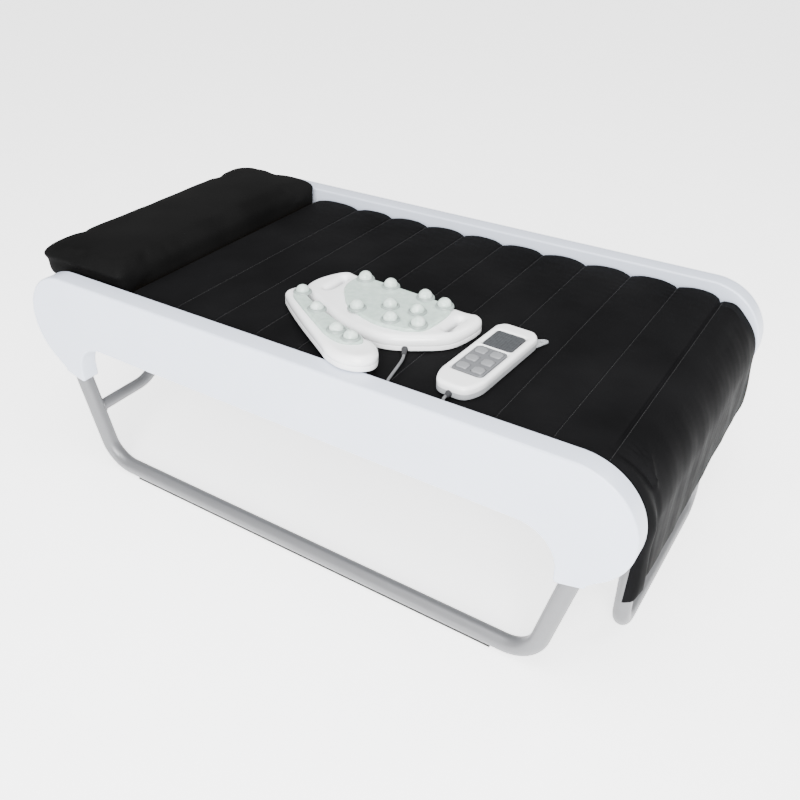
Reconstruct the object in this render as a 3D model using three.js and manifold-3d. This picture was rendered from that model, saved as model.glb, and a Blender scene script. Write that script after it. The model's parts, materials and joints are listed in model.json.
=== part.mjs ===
// Thermal jade-roller massage bed: two round-ended side panels on bent sled tubes, a deck with a
// motor-driven roller carriage under a quilted mat, a pull-out leg extension and its hand units.
// Millimetres. Origin on the floor under the middle of the bed, +X to the foot end, +Z up.
// "near" is the -Y side, "far" the +Y side.
import * as THREE from 'three';
import { mergeVertices } from 'three/addons/utils/BufferGeometryUtils.js';
import Module from 'manifold-3d';

const wasm = await Module();
wasm.setup();

// ---------- driving dimensions ----------
const LENGTH = 1260;
const WIDTH = 700;
const GAP = 0.3;

const PANEL_TOP = 444;
const PANEL_EDGE = 306;
const PANEL_THICK = 38.5;
const PANEL_BEVEL = 5;
const LOBE_R = 108;
const ARCH_R = 67;
const BOSS_IN = 516;
const BOSS_OUT = 566;
const BOSS_Z = 214;

const TUBE_R = 16;
const TUBE_SIDES = 12;
const GLIDE = 2.7;
const LEG_LEAN = 0.242;
const LEG_X = 534;
const LEG_Z = 193;
const SLED_BEND = 65;
const BRACE_R = 12;

const DECK_TOP = 403;
const DECK_THICK = 12;
const DECK_HALF = 300;
const DECK_HEAD = -600;
const DECK_FOOT = 515;
const RAIL_LOW = 345;
const MEMBER_LOW = 335;
const WELL = { head: -360, foot: 300, half: 100 };

const MAT_HEAD = -396;
const MAT_FOOT = 523.6;
const MAT_TOP = 430;
const MAT_HALF = 304;
const MAT_SKIN = 6;
const PILLOW = { head: -640, foot: -399, top: 473, corner: 24 };
const FLAP = { outer: 107, thick: 16, x: 524, z: 321, low: 202, half: 306, split: Math.PI / 4 };

const ROD = { r: 6, y: 115, z: 345 };
const CARRIAGE = { x: -280, half: 65, z: 355, thick: 5 };
const ROLLER = { r: 20, z: 383, spread: 48, y: 40, width: 30, axle: 4 };
const BELT = { y: 60, z: 329, r: 12.3, thick: 1.7, width: 12, idler: -364, drive: 296 };

const HOOP = { r: 15, y: 190, z: 361, start: 60, foot: 590, bend: 40 };
const BOARD = { head: 340, foot: 575, half: 200, thick: 12 };

const BALL_R = 12.5;
const LEAD_R = 2.5;
const LEAD_SIDES = 8;
const GUTTER_Y = -307.7;

// ---------- derived places ----------
const HALF_WIDTH = WIDTH / 2;
const PANEL_IN = HALF_WIDTH - PANEL_THICK;
const LOBE_X = LENGTH / 2 - LOBE_R;
const LOBE_Z = PANEL_TOP - LOBE_R;
const TUBE_Y = HALF_WIDTH - PANEL_THICK / 2;
const FLOOR_RUN = GLIDE + GAP + TUBE_R;
const DECK_LOW = DECK_TOP - DECK_THICK;
const MAT_LOW = DECK_TOP + GAP;

// ---------- materials ----------
const finish = (color, roughness, metalness = 0) =>
  new THREE.MeshStandardMaterial({ color, roughness, metalness });
const whiteShell = finish(0xe6ebf0, 0.35);
const silverTube = finish(0xa8aaad, 0.35, 0.6);
const steel = finish(0xb9bcc0, 0.3, 0.9);
const darkSteel = finish(0x5b5e63, 0.5, 0.7);
const blackLeather = finish(0x222223, 0.45);
const plywood = finish(0xb8935f, 0.7);
const rubber = finish(0x2b2b2c, 0.8);
const greyPlastic = finish(0x8d9093, 0.5);
const darkPlastic = finish(0x303236, 0.5);
const jade = finish(0xb9d0bd, 0.2);
const boardGreen = finish(0x2f6b45, 0.6);
const lampGlass = finish(0xd7623a, 0.2);
const displayGrey = finish(0x8a8f93, 0.15);
const leadGrey = finish(0x8b8d90, 0.6);

// ---------- helpers ----------
const object = new THREE.Group();

/** The solid that a closed geometry encloses. */
function solid(geometry) {
  const bare = geometry.index ? geometry.toNonIndexed() : geometry.clone();
  bare.deleteAttribute('normal');
  bare.deleteAttribute('uv');
  const merged = mergeVertices(bare, 1e-4);
  return new wasm.Manifold(new wasm.Mesh({
    numProp: 3,
    vertProperties: new Float32Array(merged.attributes.position.array),
    triVerts: new Uint32Array(merged.index.array),
  }));
}

/** A geometry holding the triangles of a solid. */
function geometryOf(manifold) {
  const { vertProperties, triVerts } = manifold.getMesh();
  const geometry = new THREE.BufferGeometry();
  geometry.setAttribute('position', new THREE.BufferAttribute(vertProperties, 3));
  geometry.setIndex(new THREE.BufferAttribute(triVerts, 1));
  return geometry;
}

const cut = (body, ...tools) => geometryOf(tools.reduce((a, b) => a.subtract(solid(b)), solid(body)));
const join = (body, ...more) => geometryOf(more.reduce((a, b) => a.add(solid(b)), solid(body)));

/** Adds one named piece to a group. */
function piece(parent, name, geometry, material) {
  const mesh = new THREE.Mesh(geometry, material);
  mesh.name = name;
  parent.add(mesh);
  return mesh;
}

/** A box between two opposite corners. */
function block(x0, x1, y0, y1, z0, z1) {
  const geometry = new THREE.BoxGeometry(x1 - x0, y1 - y0, z1 - z0);
  return geometry.translate((x0 + x1) / 2, (y0 + y1) / 2, (z0 + z1) / 2);
}

/** A round bar from one point to another. */
function bar(from, to, radius, sides = 16) {
  const a = new THREE.Vector3(...from);
  const b = new THREE.Vector3(...to);
  const along = b.clone().sub(a);
  const geometry = new THREE.CylinderGeometry(radius, radius, along.length(), sides);
  const turn = new THREE.Quaternion().setFromUnitVectors(
    new THREE.Vector3(0, 1, 0),
    along.clone().normalize(),
  );
  const middle = a.add(b).multiplyScalar(0.5);
  return geometry.applyQuaternion(turn).translate(middle.x, middle.y, middle.z);
}

/** A path through given points, with one ring of the swept section at each of them. */
class RingPath extends THREE.Curve {
  constructor(points) {
    super();
    this.points = points;
  }

  getPoint(t, target = new THREE.Vector3()) {
    const at = t * (this.points.length - 1);
    const i = Math.min(Math.floor(at), this.points.length - 2);
    return target.lerpVectors(this.points[i], this.points[i + 1], at - i);
  }

  getUtoTmapping(u) {
    return u;
  }
}

/** The corners of a route, each rounded to a bend of the given radius. */
function bends(corners, radius, stepsPerBend = 5) {
  const at = corners.map((c) => new THREE.Vector3(...c));
  const points = [at[0]];
  for (let i = 1; i < at.length - 1; i += 1) {
    const back = at[i - 1].clone().sub(at[i]).normalize();
    const on = at[i + 1].clone().sub(at[i]).normalize();
    const half = back.angleTo(on) / 2;
    const middle = back.clone().add(on).normalize();
    const centre = at[i].clone().addScaledVector(middle, radius / Math.sin(half));
    const reach = radius / Math.tan(half);
    const first = at[i].clone().addScaledVector(back, reach).sub(centre);
    const last = at[i].clone().addScaledVector(on, reach).sub(centre);
    const sweep = first.angleTo(last);
    for (let k = 0; k <= stepsPerBend; k += 1) {
      const share = k / stepsPerBend;
      const a = Math.sin((1 - share) * sweep) / Math.sin(sweep);
      const b = Math.sin(share * sweep) / Math.sin(sweep);
      points.push(centre.clone().addScaledVector(first, a).addScaledVector(last, b));
    }
  }
  points.push(at[at.length - 1]);
  return points;
}

/** A regular section with a flat side down where the section's own axes allow it. */
function section(radius, sides) {
  const shape = new THREE.Shape();
  for (let i = 0; i < sides; i += 1) {
    const angle = ((i + 0.5) * 2 * Math.PI) / sides;
    const x = radius * Math.cos(angle);
    const y = radius * Math.sin(angle);
    if (i === 0) shape.moveTo(x, y);
    else shape.lineTo(x, y);
  }
  shape.closePath();
  return shape;
}

/** A round tube swept along a path of rings. */
function sweep(points, radius, sides) {
  return new THREE.ExtrudeGeometry(section(radius, sides), {
    steps: points.length - 1,
    extrudePath: new RingPath(points),
    bevelEnabled: false,
  });
}

/** A closed outline in the plane with every corner rounded. */
function roundedOutline(corners, radius) {
  const shape = new THREE.Shape();
  const count = corners.length;
  corners.forEach((corner, i) => {
    const here = new THREE.Vector2(...corner);
    const before = new THREE.Vector2(...corners[(i + count - 1) % count]).sub(here);
    const after = new THREE.Vector2(...corners[(i + 1) % count]).sub(here);
    const reach = Math.min(radius, before.length() * 0.45, after.length() * 0.45);
    const start = here.clone().add(before.setLength(reach));
    const end = here.clone().add(after.setLength(reach));
    if (i === 0) shape.moveTo(start.x, start.y);
    else shape.lineTo(start.x, start.y);
    shape.quadraticCurveTo(here.x, here.y, end.x, end.y);
  });
  shape.closePath();
  return shape;
}

/** A closed outline that flows through the given points. */
function flowingOutline(spots, count = 44) {
  const corners = spots.map(([x, y]) => new THREE.Vector3(x, y, 0));
  const curve = new THREE.CatmullRomCurve3(corners, true);
  const points = curve.getSpacedPoints(count).slice(0, count);
  return new THREE.Shape(points.map((p) => new THREE.Vector2(p.x, p.y)));
}

/** A plate of a plane outline from z0 to z1, its upper and lower edges bevelled. */
function plate(shape, z0, z1, bevel, curveSegments = 4) {
  const options = {
    depth: z1 - z0 - 2 * bevel,
    bevelEnabled: bevel > 0,
    bevelThickness: bevel,
    bevelSize: bevel,
    bevelOffset: -bevel,
    bevelSegments: 2,
    curveSegments,
  };
  return new THREE.ExtrudeGeometry(shape, options).translate(0, 0, z0 + bevel);
}

/** A length of a section drawn in X and Z, running from y0 to y1. */
function alongY(shape, y0, y1, curveSegments = 8) {
  const options = { depth: y1 - y0, bevelEnabled: false, curveSegments };
  return new THREE.ExtrudeGeometry(shape, options).rotateX(Math.PI / 2).translate(0, y1, 0);
}

/** Round bars across the bed, along Y, and along the bed, used for bores, rods and pins. */
const crossBar = (x, z, y0, y1, radius, sides = 16) => bar([x, y0, z], [x, y1, z], radius, sides);
const lengthBar = (y, z, x0, x1, radius, sides = 16) => bar([x0, y, z], [x1, y, z], radius, sides);

// ---------- side panels ----------
/** Half of a panel's outline, walked from the top middle to the low edge's middle. */
function panelHalf(shape, side) {
  const lobe = side > 0 ? [Math.PI / 2, -0.86] : [Math.PI / 2, Math.PI + 0.86];
  const arch = side > 0 ? [0, Math.PI / 2] : [Math.PI, Math.PI / 2];
  shape.lineTo(side * LOBE_X, PANEL_TOP);
  shape.absarc(side * LOBE_X, LOBE_Z, LOBE_R, ...lobe, side > 0);
  shape.quadraticCurveTo(side * 575, 240, side * BOSS_OUT, BOSS_Z + 12);
  shape.lineTo(side * BOSS_IN, BOSS_Z);
  shape.absarc(side * (BOSS_IN - ARCH_R), PANEL_EDGE - ARCH_R, ARCH_R, ...arch, side < 0);
}

function panelOutline() {
  const right = new THREE.Shape();
  right.moveTo(0, PANEL_TOP);
  panelHalf(right, 1);
  right.lineTo(0, PANEL_EDGE);
  const points = right.getPoints(8);
  const mirrored = points
    .filter((p) => p.x > 0.01)
    .map((p) => new THREE.Vector2(-p.x, p.y))
    .reverse();
  return new THREE.Shape([...points, ...mirrored]);
}

/** A leg's X on one end of the bed at a height: the legs lean inwards towards the floor. */
const legFoot = (end, z) => end * (LEG_X - LEG_LEAN * (LEG_Z - z));
const SOCKET_LOW = BOSS_Z - 20;
const SOCKET_TOP = BOSS_Z + 62;
const TUBE_END = SOCKET_TOP - 2;
const SOCKET_PLAY = 0.6;

function sidePanel(name, side) {
  const options = {
    depth: PANEL_THICK - 2 * PANEL_BEVEL,
    bevelEnabled: true,
    bevelThickness: PANEL_BEVEL,
    bevelSize: PANEL_BEVEL,
    bevelOffset: -PANEL_BEVEL,
    bevelSegments: 2,
  };
  const body = new THREE.ExtrudeGeometry(panelOutline(), options).rotateX(Math.PI / 2);
  body.translate(0, side * TUBE_Y + PANEL_THICK / 2 - PANEL_BEVEL, 0);
  const sockets = [-1, 1].map((end) => bar(
    [legFoot(end, SOCKET_LOW), side * TUBE_Y, SOCKET_LOW],
    [legFoot(end, SOCKET_TOP), side * TUBE_Y, SOCKET_TOP],
    TUBE_R + SOCKET_PLAY,
    TUBE_SIDES,
  ));
  piece(object, name, cut(body, ...sockets), whiteShell);
}

sidePanel('side_panel_near', -1);
sidePanel('side_panel_far', 1);

// ---------- sled tubes, brace and floor strips ----------
function sledTube(name, side) {
  const y = side * TUBE_Y;
  const corners = [
    [legFoot(-1, TUBE_END), y, TUBE_END],
    [legFoot(-1, FLOOR_RUN), y, FLOOR_RUN],
    [legFoot(1, FLOOR_RUN), y, FLOOR_RUN],
    [legFoot(1, TUBE_END), y, TUBE_END],
  ];
  piece(object, name, sweep(bends(corners, SLED_BEND), TUBE_R, TUBE_SIDES), silverTube);
}

sledTube('sled_tube_near', -1);
sledTube('sled_tube_far', 1);

const BRACE = { low: 140, high: 292, y: 147, end: TUBE_Y - TUBE_R - GAP, bend: 70, sides: 10 };
const braceX = legFoot(-1, BRACE.low);
piece(object, 'head_brace_tube', sweep(bends([
  [braceX, -BRACE.end, BRACE.low],
  [braceX, -BRACE.y, BRACE.low],
  [braceX, -BRACE.y, BRACE.high],
  [braceX, BRACE.y, BRACE.high],
  [braceX, BRACE.y, BRACE.low],
  [braceX, BRACE.end, BRACE.low],
], BRACE.bend), BRACE_R, BRACE.sides), silverTube);

const STRIP = { half: 420, side: 10 };
for (const [name, side] of [['foot_strip_near', -1], ['foot_strip_far', 1]]) {
  const y = side * TUBE_Y;
  piece(object, name, block(-STRIP.half, STRIP.half, y - STRIP.side, y + STRIP.side, 0, GLIDE), rubber);
}

// ---------- deck ----------
const RAIL = { head: -585, foot: 500, thick: 15 };
const RAIL_OUT = PANEL_IN - GAP;
const RAIL_IN = RAIL_OUT - RAIL.thick;
const railBlock = (side) => block(
  RAIL.head,
  RAIL.foot,
  Math.min(side * RAIL_IN, side * RAIL_OUT),
  Math.max(side * RAIL_IN, side * RAIL_OUT),
  RAIL_LOW,
  DECK_LOW - GAP,
);
const leadNotch = block(148, 312, -PANEL_IN, -PANEL_IN + 8.8, RAIL_LOW - 5, DECK_LOW + 5);
piece(object, 'deck_rail_near', cut(railBlock(-1), leadNotch), darkSteel);
piece(object, 'deck_rail_far', railBlock(1), darkSteel);

const MEMBER_HALF = RAIL_IN - GAP;
const member = (x0, x1, top) => block(x0, x1, -MEMBER_HALF, MEMBER_HALF, MEMBER_LOW, top);
const rodBores = (x0, x1) => [-1, 1].map(
  (side) => lengthBar(side * ROD.y, ROD.z, x0 - 5, x1 + 5, ROD.r + 0.5),
);
const hoopBores = (x0, x1) => [-1, 1].map(
  (side) => lengthBar(side * HOOP.y, HOOP.z, x0 - 5, x1 + 5, HOOP.r + 0.6, TUBE_SIDES),
);
const idlerArm = block(-381, BELT.idler + 8, BELT.y + 9, BELT.y + 13, BELT.z - 8, BELT.z + 12);
const idlerPin = crossBar(BELT.idler, BELT.z, BELT.y - 7, BELT.y + 10, 3);
const headMember = cut(member(-400, -380, DECK_LOW - GAP), ...rodBores(-400, -380));
piece(object, 'cross_member_head', join(headMember, idlerArm, idlerPin), darkSteel);
piece(object, 'cross_member_middle', cut(
  member(316, 334, DECK_LOW - GAP),
  ...rodBores(316, 334),
  ...hoopBores(316, 334),
), darkSteel);
piece(object, 'cross_member_foot', cut(member(490, 508, 372), ...hoopBores(490, 508)), darkSteel);

const deck = block(DECK_HEAD, DECK_FOOT, -DECK_HALF, DECK_HALF, DECK_LOW, DECK_TOP);
const deckSlot = block(WELL.head, WELL.foot, -WELL.half, WELL.half, DECK_LOW - 5, DECK_TOP + 5);
piece(object, 'deck_board', cut(deck, deckSlot), plywood);

const PAN = { low: 308, thick: 2.5, foot: 500, head: -590, bend: 30, top: 386 };
const panProfile = new THREE.Shape();
panProfile.moveTo(PAN.foot, PAN.low);
panProfile.lineTo(PAN.foot, PAN.low + PAN.thick);
panProfile.lineTo(PAN.head + PAN.bend, PAN.low + PAN.thick);
panProfile.absarc(PAN.head + PAN.bend, PAN.low + PAN.bend, PAN.bend - PAN.thick,
  -Math.PI / 2, -Math.PI, true);
panProfile.lineTo(PAN.head + PAN.thick, PAN.top);
panProfile.lineTo(PAN.head, PAN.top);
panProfile.lineTo(PAN.head, PAN.low + PAN.bend);
panProfile.absarc(PAN.head + PAN.bend, PAN.low + PAN.bend, PAN.bend, Math.PI, 1.5 * Math.PI, false);
panProfile.closePath();
const INLET = { y: -60, half: 24, low: 345, high: 373 };
const SWITCH = { y: 30, half: 15, low: 348, high: 370 };
const wallWindow = (spec) => block(
  PAN.head - 6,
  PAN.head + 8,
  spec.y - spec.half,
  spec.y + spec.half,
  spec.low,
  spec.high,
);
const PAN_HALF = PANEL_IN - GAP;
const pan = alongY(panProfile, -PAN_HALF, PAN_HALF);
piece(object, 'bottom_pan', cut(pan, wallWindow(INLET), wallWindow(SWITCH)), darkPlastic);

// ---------- soft parts ----------
const MAT_EDGE = 12;
const matProfile = new THREE.Shape([
  [-MAT_HALF, MAT_LOW], [MAT_HALF, MAT_LOW], [MAT_HALF, MAT_TOP - MAT_EDGE],
  [MAT_HALF - MAT_EDGE, MAT_TOP], [-MAT_HALF + MAT_EDGE, MAT_TOP], [-MAT_HALF, MAT_TOP - MAT_EDGE],
].map(([y, z]) => new THREE.Vector2(y, z)));
const matLength = { depth: MAT_FOOT - MAT_HEAD, bevelEnabled: false };
const matBody = new THREE.ExtrudeGeometry(matProfile, matLength)
  .rotateX(Math.PI / 2)
  .rotateZ(Math.PI / 2)
  .translate(MAT_HEAD, 0, 0);
const matWell = block(WELL.head, WELL.foot, -WELL.half, WELL.half, MAT_LOW - 5, MAT_TOP - MAT_SKIN);
piece(object, 'mat', cut(matBody, matWell), blackLeather);

const pillowShape = roundedOutline([
  [PILLOW.head, MAT_LOW], [PILLOW.foot, MAT_LOW],
  [PILLOW.foot, PILLOW.top], [PILLOW.head, PILLOW.top],
], PILLOW.corner);
piece(object, 'pillow', alongY(pillowShape, -MAT_HALF, MAT_HALF, 4), blackLeather);

/** Part of the padded cover over the foot end: an arc between two angles, which may end hanging. */
function flapPart(name, from, to, hangs) {
  const inner = FLAP.outer - FLAP.thick;
  const profile = new THREE.Shape();
  profile.moveTo(FLAP.x + inner * Math.cos(from), FLAP.z + inner * Math.sin(from));
  profile.absarc(FLAP.x, FLAP.z, inner, from, to, true);
  if (hangs) {
    profile.lineTo(FLAP.x + inner, FLAP.low);
    profile.lineTo(FLAP.x + FLAP.outer, FLAP.low);
  }
  profile.absarc(FLAP.x, FLAP.z, FLAP.outer, to, from, false);
  profile.closePath();
  piece(object, name, alongY(profile, -FLAP.half, FLAP.half), blackLeather);
}

flapPart('flap_curve', Math.PI / 2, FLAP.split + GAP / FLAP.outer, false);
flapPart('leg_flap', FLAP.split, 0, true);

const HEATER = { head: 345, foot: 505, half: 240, low: 389 };
const heaterFilm = block(HEATER.head, HEATER.foot, -HEATER.half, HEATER.half, HEATER.low, DECK_LOW - GAP);
piece(object, 'leg_heater', heaterFilm, darkPlastic);

// ---------- roller drive ----------
for (const [name, side] of [['guide_rod_near', -1], ['guide_rod_far', 1]]) {
  piece(object, name, lengthBar(side * ROD.y, ROD.z, -398, 332, ROD.r), steel);
}

function beltLoop(radius) {
  const loop = new THREE.Shape();
  loop.moveTo(BELT.idler, BELT.z + radius);
  loop.absarc(BELT.idler, BELT.z, radius, Math.PI / 2, 1.5 * Math.PI, false);
  loop.lineTo(BELT.drive, BELT.z - radius);
  loop.absarc(BELT.drive, BELT.z, radius, -Math.PI / 2, Math.PI / 2, false);
  loop.closePath();
  return alongY(loop, BELT.y - BELT.width / 2, BELT.y + BELT.width / 2);
}

const beltInner = beltLoop(BELT.r).scale(1, 2, 1).translate(0, -BELT.y, 0);
piece(object, 'drive_belt', cut(beltLoop(BELT.r + BELT.thick), beltInner), rubber);

const beltPulley = (x) => crossBar(x, BELT.z, BELT.y - 6, BELT.y + 6, BELT.r - GAP, 20);
const MOTOR_SHAFT = 3;
const drivePulley = join(
  beltPulley(BELT.drive),
  crossBar(BELT.drive, BELT.z, BELT.y, BELT.y + 30, MOTOR_SHAFT),
);
piece(object, 'drive_pulley', drivePulley, steel);
piece(object, 'idler_pulley', cut(
  beltPulley(BELT.idler),
  crossBar(BELT.idler, BELT.z, BELT.y - 9, BELT.y + 9, 3.5),
), steel);
piece(object, 'gear_motor', cut(
  block(270, 315.5, BELT.y + 9, BELT.y + 39, 311.5, 350),
  crossBar(BELT.drive, BELT.z, BELT.y, BELT.y + 32, MOTOR_SHAFT + 0.5),
), darkSteel);

// ---------- carriage ----------
const carriage = new THREE.Group();
carriage.position.x = CARRIAGE.x;
object.add(carriage);

const POST = { x: -20, y: 55, r: 4, top: 388 };
const PLATE_TOP = CARRIAGE.z + CARRIAGE.thick;
const bearings = [-1, 1].flatMap((side) => [-45, 45].map((x) => block(
  x - 16,
  x + 16,
  side * ROD.y - 13,
  side * ROD.y + 13,
  ROD.z - 11,
  CARRIAGE.z + 1,
)));
const posts = [-1, 1].map((side) => bar(
  [POST.x, side * POST.y, CARRIAGE.z + 1],
  [POST.x, side * POST.y, POST.top],
  POST.r,
  12,
));
const clampLow = BELT.z + BELT.r + BELT.thick + GAP;
const beltClamp = block(-15, 15, BELT.y - 8, BELT.y + 8, clampLow, CARRIAGE.z + 1);
const carriageBody = join(
  block(-CARRIAGE.half, CARRIAGE.half, -128, 128, CARRIAGE.z, PLATE_TOP),
  ...bearings,
  ...posts,
  beltClamp,
);
piece(carriage, 'carriage_plate', cut(
  carriageBody,
  ...[-1, 1].map((side) => lengthBar(side * ROD.y, ROD.z, -80, 80, ROD.r + 0.3)),
  bar([0, 0, CARRIAGE.z - 3], [0, 0, PLATE_TOP + 3], 7),
), steel);

const ACTUATOR = { r: 18, low: 314, rod: 5 };
piece(carriage, 'lift_actuator', cut(
  bar([0, 0, ACTUATOR.low], [0, 0, CARRIAGE.z - GAP], ACTUATOR.r, 20),
  bar([0, 0, ACTUATOR.low + 6], [0, 0, CARRIAGE.z + 2], ACTUATOR.rod + 0.5, 12),
), darkSteel);

const EAR = { y: 70, thick: 6, low: 366, high: 392 };
const liftWindow = (side) => bar(
  [POST.x, side * POST.y, EAR.low - 6],
  [POST.x, side * POST.y, EAR.low + 9],
  POST.r + 0.5,
  12,
);
const ears = [-1, 1].map((side) => block(
  -ROLLER.spread - 10,
  ROLLER.spread + 10,
  side > 0 ? EAR.y : -EAR.y - EAR.thick,
  side > 0 ? EAR.y + EAR.thick : -EAR.y,
  EAR.low,
  EAR.high,
));
const liftBody = join(
  block(-26, 26, -EAR.y - 1, EAR.y + 1, EAR.low, EAR.low + 4),
  ...ears,
  bar([0, 0, ACTUATOR.low + 8], [0, 0, EAR.low + 1], ACTUATOR.rod, 12),
);
const axleBores = [-1, 1].map(
  (end) => crossBar(end * ROLLER.spread, ROLLER.z, -90, 90, ROLLER.axle + 0.4),
);
piece(carriage, 'lift_platform', cut(liftBody, ...axleBores, liftWindow(-1), liftWindow(1)), steel);

/** A roller's section from its bore outwards, turned about the axle. */
function jadeRoller() {
  const half = ROLLER.width / 2;
  const bore = ROLLER.axle + GAP;
  const rim = [];
  for (let i = 0; i <= 6; i += 1) {
    const angle = -Math.PI / 2 + (i * Math.PI) / 6;
    rim.push([ROLLER.r - 8 + 8 * Math.cos(angle), half * Math.sin(angle)]);
  }
  const profile = [[bore, -half], ...rim, [bore, half], [bore, -half]];
  return new THREE.LatheGeometry(profile.map(([x, y]) => new THREE.Vector2(x, y)), 24);
}

for (const [end, place] of [['front', -1], ['rear', 1]]) {
  const x = place * ROLLER.spread;
  piece(carriage, `roller_axle_${end}`, crossBar(x, ROLLER.z, -79, 79, ROLLER.axle), steel);
  for (const [side, y] of [['near', -ROLLER.y], ['far', ROLLER.y]]) {
    const roller = piece(carriage, `jade_roller_${end}_${side}`, jadeRoller(), jade);
    roller.position.set(x, y, ROLLER.z);
  }
}
piece(carriage, 'heat_lamp', crossBar(14, 380, -EAR.y + GAP, EAR.y - GAP, 5.5), lampGlass);

// ---------- electrics ----------
const BOX = { head: -330, foot: -140, y0: -292, y1: -196, low: 311, high: 352, wall: 2.5 };
const SOCKETS = [-204, -262];
const SOCKET = { r: 6, length: 8 };
const LEAD_Z = PAN.low + PAN.thick + GAP + LEAD_R;
const boxShell = cut(
  block(BOX.head, BOX.foot, BOX.y0, BOX.y1, BOX.low, BOX.high),
  block(
    BOX.head + BOX.wall,
    BOX.foot - BOX.wall,
    BOX.y0 + BOX.wall,
    BOX.y1 - BOX.wall,
    BOX.low + BOX.wall,
    BOX.high + 5,
  ),
);
const SOCKET_Z = BOX.low + 12;
const sockets = SOCKETS.map(
  (y) => lengthBar(y, SOCKET_Z, BOX.foot - 1, BOX.foot + SOCKET.length, SOCKET.r, 12),
);
piece(object, 'control_box', join(boxShell, ...sockets), darkPlastic);
piece(object, 'circuit_board', block(
  BOX.head + 6,
  BOX.foot - 6,
  BOX.y0 + 6,
  BOX.y1 - 6,
  BOX.low + 14,
  BOX.low + 16,
), boardGreen);

/** The Y and Z limits of what fits a window of the head wall with a given play. */
const inWall = (spec, clear) => [
  spec.y - spec.half + clear,
  spec.y + spec.half - clear,
  spec.low + clear,
  spec.high - clear,
];
const [inletY0, inletY1, inletZ0, inletZ1] = inWall(INLET, 0.5);
const inletFlange = block(PAN.head - 3, PAN.head - GAP, inletY0 - 5, inletY1 + 5, inletZ0 - 4, inletZ1 + 4);
const inletBody = block(PAN.head - 1, PAN.head + 22, inletY0, inletY1, inletZ0, inletZ1);
const inletMouth = block(PAN.head - 6, PAN.head + 16, inletY0 + 6, inletY1 - 6, inletZ0 + 5, inletZ1 - 5);
piece(object, 'power_inlet', cut(join(inletFlange, inletBody), inletMouth), darkPlastic);

const [switchY0, switchY1, switchZ0, switchZ1] = inWall(SWITCH, 1);
const ROCKER = { depth: 10, tilt: 10, half: 8.5 };
const rocker = piece(object, 'rocker_switch', block(
  -ROCKER.depth / 2,
  ROCKER.depth / 2,
  switchY0,
  switchY1,
  -ROCKER.half,
  ROCKER.half,
), darkPlastic);
rocker.position.set(PAN.head + 2, 0, (switchZ0 + switchZ1) / 2);
rocker.rotation.y = (ROCKER.tilt * Math.PI) / 180;

// ---------- leg extension ----------
const hoopLow = HOOP.r + 0.6;
piece(object, 'extension_frame', sweep(bends([
  [HOOP.start, -HOOP.y, HOOP.z],
  [HOOP.foot, -HOOP.y, HOOP.z],
  [HOOP.foot, -HOOP.y, hoopLow],
  [HOOP.foot, HOOP.y, hoopLow],
  [HOOP.foot, HOOP.y, HOOP.z],
  [HOOP.start, HOOP.y, HOOP.z],
], HOOP.bend, 6), HOOP.r, TUBE_SIDES), silverTube);
const boardLow = HOOP.z + HOOP.r + GAP;
const boardBody = block(BOARD.head, BOARD.foot, -BOARD.half, BOARD.half, boardLow, boardLow + BOARD.thick);
piece(object, 'extension_board', boardBody, plywood);

// ---------- many-ball projector ----------
const MULTI = { low: MAT_TOP + 0.4, split: 441, top: 461, ballZ: 468 };
const multiOutline = flowingOutline([
  [-82, -66], [-62, -45], [-30, -50], [60, -57], [196, -69], [226, -67], [241, -84], [236, -130],
  [220, -165], [182, -194], [140, -216], [100, -221], [36, -210], [-52, -167], [-91, -143], [-97, -106],
]);
const handleSlots = [
  block(-60, -47, -130, -68, MULTI.low - 5, MULTI.top + 5),
  block(203, 215, -148, -96, MULTI.low - 5, MULTI.top + 5),
];
piece(object, 'multi_projector_shell', cut(
  plate(multiOutline, MULTI.split, MULTI.top, 6),
  ...handleSlots,
), whiteShell);
piece(object, 'multi_projector_base', cut(
  plate(multiOutline, MULTI.low, MULTI.split - GAP, 0),
  ...handleSlots,
), whiteShell);
const MULTI_BALLS = [
  [-8, -69], [48, -70], [124, -75], [169, -85], [90, -136], [141, -129], [45, -172], [117, -177],
  [166, -167],
];
const PAD_BALL = 12;
/** A thin pad standing on a shell with the half-sunk balls that it carries. */
function ballPad(spots, outline, low, ballZ) {
  const balls = spots.map(([x, y]) => new THREE.SphereGeometry(BALL_R, PAD_BALL, 8)
    .rotateX(Math.PI / 2)
    .translate(x, y, ballZ));
  const joined = join(plate(outline, low, low + 4, 0, 2), ...balls);
  return cut(joined, block(-400, 400, -400, 400, ballZ - 40, low));
}
const multiPad = roundedOutline([
  [-28, -59], [60, -64], [150, -72], [186, -82], [190, -130], [184, -172], [158, -192], [104, -201],
  [50, -185], [18, -168], [-28, -112],
], 18);
piece(object, 'multi_projector_balls', ballPad(
  MULTI_BALLS,
  multiPad,
  MULTI.top + GAP,
  MULTI.ballZ,
), jade);

// ---------- hand projector, leaning on the near panel's top edge ----------
const HAND = { pivotY: -140, tilt: -4.7, low: 0.6, split: 12, top: 30, ballZ: 35 };
const handGroup = new THREE.Group();
handGroup.position.set(0, HAND.pivotY, MAT_TOP);
handGroup.rotation.x = (HAND.tilt * Math.PI) / 180;
object.add(handGroup);
const handOutline = flowingOutline([
  [-104, -10], [-84, -18], [-42, -46], [40, -90], [104, -112], [140, -120], [162, -142], [166, -164],
  [151, -183], [122, -190], [89, -181], [58, -161], [-30, -102], [-92, -56], [-111, -36],
]);
piece(handGroup, 'hand_projector_shell', plate(handOutline, HAND.split, HAND.top, 6), whiteShell);
const handGland = bar([-2, -72, 6.2], [3.5, -61.5, 6.2], 4, 12);
const handBase = plate(handOutline, HAND.low, HAND.split - GAP, 0);
piece(handGroup, 'hand_projector_base', join(handBase, handGland), whiteShell);
const HAND_BALLS = [[-70, -39], [-4, -84], [72, -132], [108, -142]];
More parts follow.
